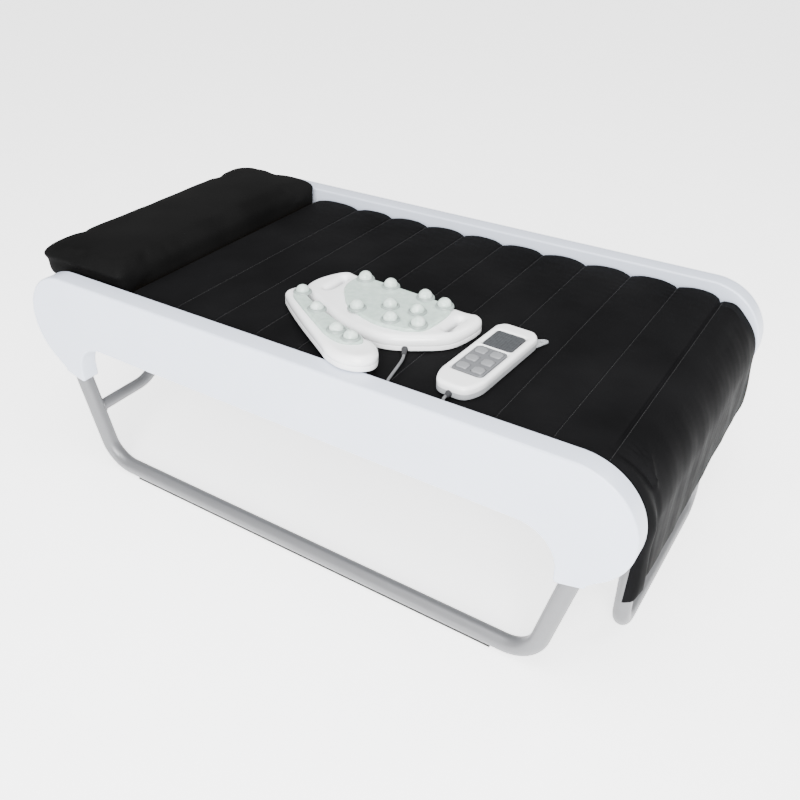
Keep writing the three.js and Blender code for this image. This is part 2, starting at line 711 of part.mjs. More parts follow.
const handPad = roundedOutline([
  [-90, -24], [-74, -33], [-36, -57], [14, -84], [84, -113], [120, -123], [132, -142], [104, -164],
  [66, -154], [-20, -99], [-82, -55],
], 14);
piece(handGroup, 'hand_projector_balls', ballPad(HAND_BALLS, handPad, HAND.top + GAP, HAND.ballZ), jade);

// ---------- handset ----------
const HANDSET = { x: 300, y: -174, turn: -3, half: 40, long: 111, base: 11, top: 24 };
const handset = new THREE.Group();
handset.position.set(HANDSET.x, HANDSET.y, MAT_TOP + 0.4);
handset.rotation.z = (HANDSET.turn * Math.PI) / 180;
object.add(handset);
const handsetOutline = roundedOutline([
  [-HANDSET.half, HANDSET.long - 14], [-HANDSET.half + 12, HANDSET.long], [HANDSET.half - 12, HANDSET.long],
  [HANDSET.half, HANDSET.long - 14], [HANDSET.half, -HANDSET.long + 30], [HANDSET.half - 14, -HANDSET.long],
  [-HANDSET.half + 14, -HANDSET.long], [-HANDSET.half, -HANDSET.long + 30],
], 18);
const DISPLAY = { half: 27, y0: 28, y1: 82 };
const KEY = { half: [10, 9], depth: 6, proud: 1.2, columns: [-14, 14], rows: [6, -22, -50] };
const keySpots = KEY.rows.flatMap((y) => KEY.columns.map((x) => [x, y]));
const keyWells = keySpots.map(([x, y]) => block(
  x - KEY.half[0] - 0.5,
  x + KEY.half[0] + 0.5,
  y - KEY.half[1] - 0.5,
  y + KEY.half[1] + 0.5,
  HANDSET.top - 8,
  HANDSET.top + 5,
));
const displayWell = block(
  -DISPLAY.half,
  DISPLAY.half,
  DISPLAY.y0,
  DISPLAY.y1,
  HANDSET.top - 2,
  HANDSET.top + 5,
);
piece(handset, 'handset_cover', cut(
  plate(handsetOutline, HANDSET.base + GAP, HANDSET.top, 3),
  displayWell,
  ...keyWells,
), whiteShell);
piece(handset, 'display_window', block(
  -DISPLAY.half + GAP,
  DISPLAY.half - GAP,
  DISPLAY.y0 + GAP,
  DISPLAY.y1 - GAP,
  HANDSET.top - 2 + GAP,
  HANDSET.top - GAP,
), displayGrey);
keySpots.forEach(([x, y], i) => {
  piece(handset, `handset_key_${i + 1}`, block(
    x - KEY.half[0],
    x + KEY.half[0],
    y - KEY.half[1],
    y + KEY.half[1],
    HANDSET.top + KEY.proud - KEY.depth,
    HANDSET.top + KEY.proud,
  ), greyPlastic);
});
const hookOutline = roundedOutline([[14, -6], [36, -24], [49, 12], [42, 17]], 4);
const hookHole = new THREE.CylinderGeometry(2.6, 2.6, 20, 10).rotateX(Math.PI / 2).translate(39, 4, 5);
const hook = cut(plate(hookOutline, 3, 7, 0), hookHole).translate(0, HANDSET.long - 1, 0);
piece(handset, 'handset_base', join(plate(handsetOutline, 0, HANDSET.base, 0), hook), greyPlastic);

// ---------- leads ----------
/** A rubber sleeve that tapers from a unit's wall to its lead. */
function strainRelief(parent, name, from, toward, length) {
  const along = new THREE.Vector3(...toward).normalize();
  const geometry = new THREE.CylinderGeometry(LEAD_R + 0.8, LEAD_R + 2.5, length, 12);
  geometry.translate(0, length / 2, 0);
  const turn = new THREE.Quaternion().setFromUnitVectors(new THREE.Vector3(0, 1, 0), along);
  const mesh = piece(parent, name, geometry.applyQuaternion(turn), rubber);
  mesh.position.set(...from);
}

function lead(name, route) {
  const spots = route.map((p) => new THREE.Vector3(...p));
  const curve = new THREE.CatmullRomCurve3(spots, false, 'centripetal');
  const rings = curve.getPoints(2 * (route.length - 1));
  piece(object, name, sweep(rings, LEAD_R, LEAD_SIDES), leadGrey);
}

const RELIEF = 20;
strainRelief(object, 'multi_projector_relief', [163.9, -205.5, 436.2], [0.464, -0.886, 0], RELIEF);
strainRelief(object, 'handset_relief', [294.2, -285.5, 438.4], [-0.05, -1, 0], 9);

const TURN_X = 446;
lead('multi_projector_lead', [
  [173.5, -223.8, 436.2], [177.5, -232, 436.5], [181.5, -245, 436.6], [184.5, -260, 436.2],
  [187, -275, 435.1], [189, -288, 433.8], [190.2, -297.5, 431.8], [191, -304.4, 425.5],
  [191.6, GUTTER_Y, 415], [192, GUTTER_Y, 393], [192.5, GUTTER_Y, 372], [194, GUTTER_Y, 350],
  [197, -306.5, 334], [203, -302, 322.5], [215, -294, 315.4], [234, -287, LEAD_Z],
  [270, -284, LEAD_Z], [320, -284, LEAD_Z],
  [390, -284, LEAD_Z], [TURN_X - 6, -283, LEAD_Z], [TURN_X + 16, -274, LEAD_Z],
  [TURN_X + 26, -251, LEAD_Z], [TURN_X + 16, -228, LEAD_Z], [TURN_X - 6, -219, LEAD_Z],
  [390, -218, LEAD_Z], [300, -218, LEAD_Z], [200, -220, LEAD_Z], [100, -230, LEAD_Z],
  [20, -246, LEAD_Z], [-50, -259, LEAD_Z + 2], [-96, -262, SOCKET_Z - 2], [-116, -262, SOCKET_Z - 0.3],
  [BOX.foot + SOCKET.length + GAP, SOCKETS[1], SOCKET_Z],
]);
lead('handset_lead', [
  [293.7, -294.8, 438.4], [293.6, -298.5, 438], [293.6, -303.5, 434.6], [293.8, -306.8, 429],
  [294.2, GUTTER_Y, 421], [294.6, GUTTER_Y, 407], [295, GUTTER_Y, 390], [296, GUTTER_Y, 370],
  [298, GUTTER_Y, 350], [304, -306.8, 332], [314, -303, 321.5], [328, -299, 315.4],
  [346, -296.6, LEAD_Z], [380, -296, LEAD_Z], [420, -296, LEAD_Z], [TURN_X, -295, LEAD_Z],
  [TURN_X + 30, -281, LEAD_Z], [TURN_X + 42, -251, LEAD_Z], [TURN_X + 30, -221, LEAD_Z],
  [TURN_X, -207, LEAD_Z], [390, -206, LEAD_Z], [300, -205, LEAD_Z], [200, -204, LEAD_Z],
  [100, -204, LEAD_Z], [0, -204, LEAD_Z], [-60, -204, LEAD_Z + 2], [-96, -204, SOCKET_Z - 2],
  [-116, -204, SOCKET_Z - 0.3], [BOX.foot + SOCKET.length + GAP, SOCKETS[0], SOCKET_Z],
]);

export default object;
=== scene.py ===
# Looks of the thermal jade-roller massage bed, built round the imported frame.
# Metres, in the frame of the CAD: origin on the floor under the middle of the bed, +X to the foot end,
# +Y to the far side panel, +Z up. "near" is the -Y side.
import json
import math

import bmesh
import bpy
import numpy as np
from mathutils import Matrix, Vector
from mathutils.geometry import delaunay_2d_cdt


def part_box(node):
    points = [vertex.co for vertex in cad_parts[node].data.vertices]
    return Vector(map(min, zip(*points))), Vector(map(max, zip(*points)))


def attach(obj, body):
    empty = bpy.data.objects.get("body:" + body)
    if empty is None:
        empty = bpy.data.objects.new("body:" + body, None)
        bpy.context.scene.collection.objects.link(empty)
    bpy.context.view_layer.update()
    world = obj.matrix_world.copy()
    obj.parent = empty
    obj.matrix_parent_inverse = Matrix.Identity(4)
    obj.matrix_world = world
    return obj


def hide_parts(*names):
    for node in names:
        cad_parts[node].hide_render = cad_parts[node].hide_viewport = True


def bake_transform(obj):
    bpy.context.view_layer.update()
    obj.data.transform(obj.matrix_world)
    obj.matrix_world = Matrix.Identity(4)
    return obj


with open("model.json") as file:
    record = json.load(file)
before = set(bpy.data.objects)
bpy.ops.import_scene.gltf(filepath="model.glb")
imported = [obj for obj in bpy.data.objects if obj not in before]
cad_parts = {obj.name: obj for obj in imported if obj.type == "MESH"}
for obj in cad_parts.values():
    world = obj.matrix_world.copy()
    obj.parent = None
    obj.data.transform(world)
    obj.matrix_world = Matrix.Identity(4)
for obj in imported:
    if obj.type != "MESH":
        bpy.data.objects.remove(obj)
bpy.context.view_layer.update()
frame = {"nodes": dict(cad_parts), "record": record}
MM = 0.001
SIDES = ((-1, "near"), (1, "far"))
ENDS = ((-1, "head"), (1, "foot"))


def mm(*values):
    """Millimetres to metres."""
    return tuple(v * MM for v in values)


# ---------- camera ----------
CAMERA_PLACE = (0.818, -1.240, 1.145)
CAMERA_AZIMUTH = math.radians(32.67)
CAMERA_ELEVATION = math.radians(33.49)
CAMERA_LENS = 38.40
CAMERA_SENSOR = 36


def make_camera():
    data = bpy.data.cameras.new("camera")
    data.lens = CAMERA_LENS
    data.sensor_width = CAMERA_SENSOR
    data.clip_start = 0.01
    camera = bpy.data.objects.new("camera", data)
    bpy.context.scene.collection.objects.link(camera)
    level = math.cos(CAMERA_ELEVATION)
    back = Vector((
        math.sin(CAMERA_AZIMUTH) * level,
        -math.cos(CAMERA_AZIMUTH) * level,
        math.sin(CAMERA_ELEVATION),
    ))
    camera.location = CAMERA_PLACE
    camera.rotation_mode = "QUATERNION"
    camera.rotation_quaternion = (-back).to_track_quat("-Z", "Y")
    bpy.context.scene.camera = camera


make_camera()


# ---------- materials ----------
class Nodes:
    """Builds one material's node tree."""

    def __init__(self, name, color, roughness, metallic=0.0, **sockets):
        self.material = bpy.data.materials.new(name)
        self.material.use_nodes = True
        self.tree = self.material.node_tree
        self.shader = self.tree.nodes["Principled BSDF"]
        self.set("Base Color", (*color, 1))
        self.set("Roughness", roughness)
        self.set("Metallic", metallic)
        for socket, value in sockets.items():
            self.set(socket.replace("_", " "), value)
        self.place = self.add("ShaderNodeTexCoord").outputs["Object"]

    def set(self, socket, value):
        self.shader.inputs[socket].default_value = value

    def add(self, kind, values=None, **settings):
        """A node with the given socket values and settings."""
        node = self.tree.nodes.new(kind)
        for key, value in settings.items():
            setattr(node, key, value)
        for socket, value in (values or {}).items():
            node.inputs[socket].default_value = value
        return node

    def link(self, source, target):
        self.tree.links.new(source, target)

    def use_uv(self):
        self.place = self.add("ShaderNodeTexCoord").outputs["UV"]

    def stretched(self, scale):
        """The place scaled by a different amount along each axis."""
        node = self.add("ShaderNodeMapping", {"Scale": scale})
        self.link(self.place, node.inputs["Vector"])
        return node.outputs["Vector"]

    def noise(self, scale, detail=3, rough=0.5, stretch=None):
        node = self.add("ShaderNodeTexNoise", {"Scale": scale, "Detail": detail, "Roughness": rough})
        self.link(self.stretched(stretch) if stretch else self.place, node.inputs["Vector"])
        return node.outputs["Fac"]

    def cells(self, scale):
        node = self.add("ShaderNodeTexVoronoi", {"Scale": scale}, feature="DISTANCE_TO_EDGE")
        self.link(self.place, node.inputs["Vector"])
        return node.outputs["Distance"]

    def ramp(self, source, low, high, low_at=0.0, high_at=1.0):
        """A colour that goes from low to high as the source does."""
        node = self.add("ShaderNodeValToRGB")
        for element, at, color in zip(node.color_ramp.elements, (low_at, high_at), (low, high)):
            element.position = at
            element.color = (*color, 1)
        self.link(source, node.inputs["Fac"])
        return node.outputs["Color"]

    def vary_color(self, source, low, high, low_at=0.3, high_at=0.7):
        self.link(self.ramp(source, low, high, low_at, high_at), self.shader.inputs["Base Color"])

    def vary_roughness(self, source, low, high):
        node = self.add("ShaderNodeMapRange", {"To Min": low, "To Max": high})
        self.link(source, node.inputs["Value"])
        self.link(node.outputs["Result"], self.shader.inputs["Roughness"])

    def bump(self, source, strength, distance, under=None):
        node = self.add("ShaderNodeBump", {"Strength": strength, "Distance": distance})
        self.link(source, node.inputs["Height"])
        if under is not None:
            self.link(under, node.inputs["Normal"])
        self.link(node.outputs["Normal"], self.shader.inputs["Normal"])
        return node.outputs["Normal"]


def shade(color, share):
    """The colour made darker or lighter."""
    return tuple(c * share for c in color)


def moulded(name, color, roughness, grain=900.0, depth=0.00008, spread=0.05, **sockets):
    """Moulded or painted plastic with a fine grain, a slow waviness and slightly uneven gloss."""
    made = Nodes(name, color, roughness, **sockets)
    slow = made.noise(9, 2)
    made.vary_color(slow, shade(color, 0.965), color)
    made.vary_roughness(made.noise(60, 4), roughness - spread, roughness + spread)
    wavy = made.bump(slow, 0.12, 0.001)
    made.bump(made.noise(grain, 2), 0.5, depth, wavy)
    return made.material


def powder_coat(name, color, roughness=0.38):
    """Silver powder coat: metallic flake, orange-peel texture and faint scuffs."""
    made = Nodes(name, color, roughness, 0.35)
    flake = made.noise(2600, 2, 0.6)
    made.vary_color(flake, shade(color, 0.86), shade(color, 1.1), 0.35, 0.65)
    made.vary_roughness(made.noise(45, 5, 0.6), roughness - 0.07, roughness + 0.1)
    peel = made.bump(made.noise(420, 2), 0.35, 0.00015)
    made.bump(flake, 0.3, 0.00003, peel)
    return made.material


def leather(name, color, roughness, grain=620.0, uv=True):
    """Black leatherette: pebbled grain between fine creases, uneven gloss and slow shade changes."""
    made = Nodes(name, color, roughness, Specular_IOR_Level=0.008)
    if uv:
        made.use_uv()
    slow = made.noise(6, 3)
    made.vary_color(slow, shade(color, 0.8), shade(color, 1.35))
    made.vary_roughness(made.noise(24, 5, 0.6), roughness - 0.06, roughness + 0.09)
    drape = made.bump(made.noise(14, 3, 0.5), 0.35, 0.0012)
    pebbles = made.bump(made.cells(grain), 0.6, 0.00012, drape)
    made.bump(made.noise(grain * 3, 3), 0.35, 0.00003, pebbles)
    return made.material


def rubber(name, color, roughness=0.7):
    made = Nodes(name, color, roughness)
    made.vary_color(made.noise(70, 4), shade(color, 0.8), shade(color, 1.25))
    made.vary_roughness(made.noise(180, 3), roughness - 0.08, roughness + 0.08)
    made.bump(made.noise(1400, 2), 0.4, 0.0001)
    return made.material


def metal(name, color, roughness, brushed=(1, 1, 1), grain=300.0):
    """Ground or turned metal, its fine lines stretched along one axis."""
    made = Nodes(name, color, roughness, 1.0)
    lines = made.noise(grain, 4, 0.6, brushed)
    made.vary_color(lines, shade(color, 0.85), color)
    made.vary_roughness(lines, roughness - 0.08, roughness + 0.12)
    made.bump(lines, 0.25, 0.00006)
    return made.material


def plywood_material():
    """Sealed birch ply: long grain on the faces, and the plies' bands where the edge is cut."""
    made = Nodes("plywood", (0.55, 0.39, 0.22), 0.5)
    figure = made.noise(18, 6, 0.65, (0.6, 7, 7))
    face = made.ramp(figure, (0.42, 0.27, 0.14), (0.66, 0.49, 0.30), 0.3, 0.72)
    waves = {"Scale": 130, "Distortion": 0.4}
    plies = made.add("ShaderNodeTexWave", waves, wave_type="BANDS", bands_direction="Z")
    made.link(made.place, plies.inputs["Vector"])
    band = made.ramp(plies.outputs["Fac"], (0.60, 0.44, 0.27), (0.30, 0.18, 0.09), 0.3, 0.8)
    normal = made.add("ShaderNodeSeparateXYZ")
    made.link(made.add("ShaderNodeNewGeometry").outputs["True Normal"], normal.inputs["Vector"])
    upright = made.add("ShaderNodeMath", operation="ABSOLUTE")
    made.link(normal.outputs["Z"], upright.inputs[0])
    blend = made.add("ShaderNodeMix", data_type="RGBA")
    made.link(upright.outputs["Value"], blend.inputs["Factor"])
    made.link(band, blend.inputs[6])
    made.link(face, blend.inputs[7])
    made.link(blend.outputs[2], made.shader.inputs["Base Color"])
    made.vary_roughness(figure, 0.42, 0.6)
    made.bump(figure, 0.2, 0.0002)
    return made.material


def jade_material(name, color, cloud):
    """Polished jade: cloudy colour in the stone, a hard gloss and light passing a little way in."""
    made = Nodes(name, color, 0.12, Subsurface_Weight=0.55, Subsurface_Scale=0.006)
    made.set("Subsurface Radius", (1.0, 1.1, 1.0))
    made.vary_color(made.noise(95, 5, 0.6), cloud, color, 0.35, 0.65)
    made.vary_roughness(made.noise(160, 3), 0.08, 0.18)
    made.bump(made.noise(40, 2), 0.05, 0.0005)
    return made.material


def display_material():
    """A grey liquid-crystal window: faint cells under a glossy face."""
    made = Nodes("display", (0.03, 0.032, 0.035), 0.22, Specular_IOR_Level=0.25)
    cells = made.add("ShaderNodeTexBrick", {
        "Scale": 210, "Mortar Size": 0.06, "Brick Width": 1.0, "Row Height": 1.0,
        "Color1": (0.040, 0.043, 0.047, 1), "Color2": (0.032, 0.034, 0.037, 1),
        "Mortar": (0.052, 0.055, 0.060, 1),
    }, offset=0.0)
    made.link(made.place, cells.inputs["Vector"])
    made.link(cells.outputs["Color"], made.shader.inputs["Base Color"])
    made.vary_roughness(made.noise(90, 3), 0.18, 0.28)
    return made.material


def board_material():
    made = Nodes("circuit_board", (0.03, 0.16, 0.07), 0.4)
    tracks = made.noise(260, 1, 0.2, (1, 4, 1))
    made.vary_color(tracks, (0.02, 0.12, 0.05), (0.05, 0.24, 0.10), 0.48, 0.52)
    made.bump(tracks, 0.3, 0.0001)
    return made.material


def lamp_material():
    made = Nodes("lamp_glass", (0.55, 0.07, 0.02), 0.08, Transmission_Weight=0.5, IOR=1.47)
    made.vary_color(made.noise(120, 3), (0.45, 0.05, 0.015), (0.62, 0.10, 0.03))
    made.vary_roughness(made.noise(200, 2), 0.05, 0.14)
    return made.material


MATERIALS = {
    "panel_white": moulded("panel_white", (0.62, 0.67, 0.78), 0.34, 500, 0.00005,
                           Coat_Weight=0.25, Coat_Roughness=0.12),
    "tube_silver": powder_coat("tube_silver", (0.16, 0.162, 0.168)),
    "strip_rubber": rubber("strip_rubber", (0.03, 0.03, 0.03)),
    "deck_steel": powder_coat("deck_steel", (0.05, 0.052, 0.056), 0.5),
    "plywood": plywood_material(),
    "base_plastic": moulded("base_plastic", (0.018, 0.018, 0.020), 0.5, 1300, 0.0002),
    "mat_leather": leather("mat_leather", (0.0050, 0.0050, 0.0053), 0.5),
    "pillow_leather": leather("pillow_leather", (0.0058, 0.0058, 0.0058), 0.5, 700, False),
    "bright_steel": metal("bright_steel", (0.62, 0.63, 0.65), 0.26, (0.15, 4, 4)),
    "belt_rubber": rubber("belt_rubber", (0.015, 0.015, 0.016)),
    "jade": jade_material("jade", (0.60, 0.72, 0.65), (0.42, 0.57, 0.48)),
    "lamp_glass": lamp_material(),
    "heater_film": moulded("heater_film", (0.02, 0.02, 0.022), 0.35, 1500),
    "circuit_board": board_material(),
    "unit_white": moulded("unit_white", (0.92, 0.925, 0.93), 0.2, 700, 0.00002,
                          Coat_Weight=0.4, Coat_Roughness=0.05),
    "unit_grey": moulded("unit_grey", (0.30, 0.31, 0.32), 0.48, 1500),
    "display": display_material(),
    "relief_rubber": rubber("relief_rubber", (0.022, 0.022, 0.025)),
    "lead_grey": rubber("lead_grey", (0.11, 0.112, 0.117), 0.5),
}
PAD_GEL = jade_material("pad_gel", (0.50, 0.60, 0.55), (0.40, 0.50, 0.45))
BALL_JADE = jade_material("ball_jade", (0.66, 0.73, 0.69), (0.46, 0.56, 0.51))
COLLAR = moulded("collar", (0.26, 0.31, 0.29), 0.3)
THREAD = rubber("thread", (0.016, 0.016, 0.017), 0.6)
KEY_FACE = moulded("key_face", (0.20, 0.205, 0.215), 0.45, 1500)
KEYPAD_GREY = moulded("keypad_grey", (0.12, 0.124, 0.132), 0.5, 1500)
PIN_METAL = metal("pin_metal", (0.70, 0.66, 0.55), 0.3)


# ---------- mesh helpers ----------
def make_piece(name, verts, faces, material, smooth=True):
    """A mesh object from vertices and faces, its faces pointing out."""
    mesh = bpy.data.meshes.new(name)
    mesh.from_pydata([tuple(map(float, v)) for v in verts], [], faces)
    shaped = bmesh.new()
    shaped.from_mesh(mesh)
    bmesh.ops.recalc_face_normals(shaped, faces=shaped.faces)
    shaped.to_mesh(mesh)
    shaped.free()
    mesh.materials.append(material)
    mesh.polygons.foreach_set("use_smooth", [smooth] * len(mesh.polygons))
    piece = bpy.data.objects.new(name, mesh)
    bpy.context.scene.collection.objects.link(piece)
    return piece


def settle(piece, body, slot, *nodes):
    """The piece rides on a body and stands for some CAD nodes, which are hidden. The slot is not used.
    """
    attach(piece, body)
    if nodes:
        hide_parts(*nodes)
    return piece


def soften(piece, angle):
    """Smooth shading with creases kept sharp above an angle."""
    piece.data.polygons.foreach_set("use_smooth", [True] * len(piece.data.polygons))
    shaped = bmesh.new()
    shaped.from_mesh(piece.data)
    limit = math.radians(angle)
    for edge in shaped.edges:
        if len(edge.link_faces) == 2 and edge.calc_face_angle(0) > limit:
            edge.smooth = False
    shaped.to_mesh(piece.data)
    shaped.free()


def add_piece(name, shape, material, body, slot, *nodes, crease=None, place=None):
    """A settled piece: creased above an angle and moved to its place if these are given."""
    piece = make_piece(name, *shape, material)
    if crease is not None:
        soften(piece, crease)
    if place is not None:
        piece.data.transform(place)
        piece.data.update()
    return settle(piece, body, slot, *nodes)


def merged(parts):
    """Several (vertices, faces) as one."""
    verts, faces = [], []
    for part_verts, part_faces in parts:
        start = len(verts)
        verts.extend(part_verts)
        faces.extend([tuple(i + start for i in face) for face in part_faces])
    return verts, faces


def rings_to_mesh(rings, closed=False):
    """Faces between rings of equal size, with an end face at each open end."""
    count = len(rings[0])
    verts = [tuple(p) for ring in rings for p in ring]
    faces = []
    last = len(rings) if closed else len(rings) - 1
    for i in range(last):
        here, on = i * count, ((i + 1) % len(rings)) * count
        for k in range(count):
            n = (k + 1) % count
            faces.append((here + k, here + n, on + n, on + k))
    if not closed:
        faces.append(tuple(range(count)))
        faces.append(tuple(reversed(range(len(verts) - count, len(verts)))))
    return verts, faces


def tube_rings(points, radius, sides=32, closed=False):
    """Rings square to a path, carried along it without twist. radius is a number or one per point."""
    path = np.array(points, float)
    if closed:
        ahead, behind = np.roll(path, -1, 0), np.roll(path, 1, 0)
        along = ahead - behind
    else:
        along = np.gradient(path, axis=0)
    along /= np.linalg.norm(along, axis=1)[:, None]
    radii = np.full(len(path), radius) if np.isscalar(radius) else np.array(radius)
    side = np.cross(along[0], (0, 0, 1) if abs(along[0][2]) < 0.9 else (1, 0, 0))
    angles = np.arange(sides) * 2 * math.pi / sides
    rings = []
    for i, point in enumerate(path):
        side = side - along[i] * (side @ along[i])
        side /= np.linalg.norm(side)
        up = np.cross(along[i], side)
        around = np.cos(angles)[:, None] * side + np.sin(angles)[:, None] * up
        rings.append(point + radii[i] * around)
    return rings


def tube(points, radius, sides=32, closed=False):
    return rings_to_mesh(tube_rings(points, radius, sides, closed), closed)


def rounded_end(points, radius, steps=4):
    """A tube's path and radii with both ends rounded over by a small lip."""
    path = [Vector(p) for p in points]
    lip = radius * 0.18
    first = (path[1] - path[0]).normalized()
    last = (path[-1] - path[-2]).normalized()
    bow = [math.sin(math.pi / 2 * k / steps) for k in range(steps)]
    rise = [1 - math.cos(math.pi / 2 * k / steps) for k in range(steps)]
    head = [path[0] + first * lip * r for r in rise]
    tail = [path[-1] - last * lip * r for r in reversed(rise)]
    radii = [radius - lip + lip * b for b in bow]
    start = path[0] + first * lip
    end = path[-1] - last * lip
    middle = [start, *path[1:-1], end]
    return head + middle + tail, radii + [radius] * len(middle) + radii[::-1]


def bent_path(corners, radius, steps=14):
    """A route's corners, each rounded to a bend of the given radius."""
    at = [Vector(c) for c in corners]
    points = [at[0]]
    for i in range(1, len(at) - 1):
        back = (at[i - 1] - at[i]).normalized()
        on = (at[i + 1] - at[i]).normalized()
        half = back.angle(on) / 2
        centre = at[i] + (back + on).normalized() * (radius / math.sin(half))
        reach = radius / math.tan(half)
        first, last = at[i] + back * reach - centre, at[i] + on * reach - centre
        sweep = first.angle(last)
        for k in range(steps + 1):
            share = k / steps
            a, b = math.sin((1 - share) * sweep), math.sin(share * sweep)
            points.append(centre + (first * a + last * b) / math.sin(sweep))
    points.append(at[-1])
    return points


def turned(profile, centre, axis, sides=40):
    """A closed profile of (radius, height), in millimetres, turned about an axis through a centre."""
    line = Vector(axis).normalized()
    side = line.orthogonal().normalized()
    up = line.cross(side)
    rings = []
    for k in range(sides):
        angle = 2 * math.pi * k / sides
        out = side * math.cos(angle) + up * math.sin(angle)
        rings.append([Vector(centre) + out * (r * MM) + line * (h * MM) for r, h in profile])
    return rings_to_mesh(rings, closed=True)


def box_part(low, high, lip=0.0008):
    """A box with small chamfers on every edge, as vertices and faces."""
    shaped = bmesh.new()
    bmesh.ops.create_cube(shaped, size=1)
    low, high = Vector(low), Vector(high)
    for v in shaped.verts:
        v.co = Vector([low[i] if v.co[i] < 0 else high[i] for i in range(3)])
    bmesh.ops.bevel(shaped, geom=shaped.edges[:], offset=lip, segments=3, profile=0.5, affect="EDGES")
    shaped.verts.index_update()
    faces = [tuple(v.index for v in face.verts) for face in shaped.faces]
    part = ([tuple(v.co) for v in shaped.verts], faces)
    shaped.free()
    return part


def inside(points, loop):
    """Which points lie inside a closed loop."""
    x, y = points[:, 0], points[:, 1]
    found = np.zeros(len(points), bool)
    for (x0, y0), (x1, y1) in zip(loop, np.roll(loop, -1, 0)):
        crosses = (y0 > y) != (y1 > y)
        with np.errstate(divide="ignore", invalid="ignore"):
            at = x0 + (y - y0) * (x1 - x0) / (y1 - y0)
        found ^= crosses & (x < at)
    return found


def within(points, loops):
    """Which points lie inside the first loop and outside the others."""
    found = inside(points, loops[0])
    for hole in loops[1:]:
        found &= ~inside(points, hole)
    return found


def edge_distance(points, loops):
    """Each point's distance to the nearest edge of the loops."""
    best = np.full(len(points), 1e9)
    for loop in loops:
        for a, b in zip(loop, np.roll(loop, -1, 0)):
            d = b - a
            t = np.clip(((points - a) @ d) / (d @ d), 0, 1)
            best = np.minimum(best, np.linalg.norm(points - (a + t[:, None] * d), axis=1))
    return best


def resampled(loop, step):
    """A closed loop with evenly spaced points."""
    loop = np.array(loop, float)
    ends = np.roll(loop, -1, 0)
    lengths = np.linalg.norm(ends - loop, axis=1)
    total = np.concatenate([[0], np.cumsum(lengths)])
    count = max(8, int(round(total[-1] / step)))
    at = np.arange(count) * total[-1] / count
    ring = np.vstack([loop, loop[:1]])
    return np.stack([np.interp(at, total, ring[:, k]) for k in range(2)], 1)


def flowing(spots, steps=8):
    """A closed smooth outline through given points."""
    p = np.array(spots, float)
    before, after, beyond = np.roll(p, 1, 0), np.roll(p, -1, 0), np.roll(p, -2, 0)
    t = (np.arange(steps) / steps)[:, None, None]
    curve = 0.5 * (
        2 * p + (after - before) * t + (2 * before - 5 * p + 4 * after - beyond) * t**2
        + (3 * p - before - 3 * after + beyond) * t**3
    )
    return curve.transpose(1, 0, 2).reshape(-1, 2)


def rounded(corners, radius, steps=6):
    """A closed outline with every corner rounded."""
    here = np.array(corners, float)
    points = []
    for i, corner in enumerate(here):
        before, after = here[i - 1] - corner, here[(i + 1) % len(here)] - corner
        reach = min(radius, 0.45 * np.linalg.norm(before), 0.45 * np.linalg.norm(after))
        start = corner + before / np.linalg.norm(before) * reach
        end = corner + after / np.linalg.norm(after) * reach
        for t in np.linspace(0, 1, steps + 1):
            points.append((1 - t) ** 2 * start + 2 * t * (1 - t) * corner + t * t * end)
    return np.array(points)


def oblong(centre, half_long, half_wide, turn=0.0, bow=0.0, steps=10):
    """A slot's outline: long along its turned Y, round at both ends, and bowed sideways."""
    points = []
    straight = half_long - half_wide
    for side, base in ((1, 0), (-1, math.pi)):
        for a in np.linspace(base, base + math.pi, steps):
            points.append((half_wide * math.cos(a), side * straight + half_wide * math.sin(a)))
    points = resampled(points, half_wide / 3)
    points[:, 0] += bow * (1 - (points[:, 1] / half_long) ** 2)
    c, s = math.cos(turn), math.sin(turn)
    return points @ np.array([[c, s], [-s, c]]) + np.array(centre)


def lip_height(distance, radius):
    """How far below the face a rounded edge of this radius is at a distance from it."""
    d = np.clip(distance / radius, 0, 1)
    return radius * (1 - np.sqrt(1 - (1 - d) ** 2))


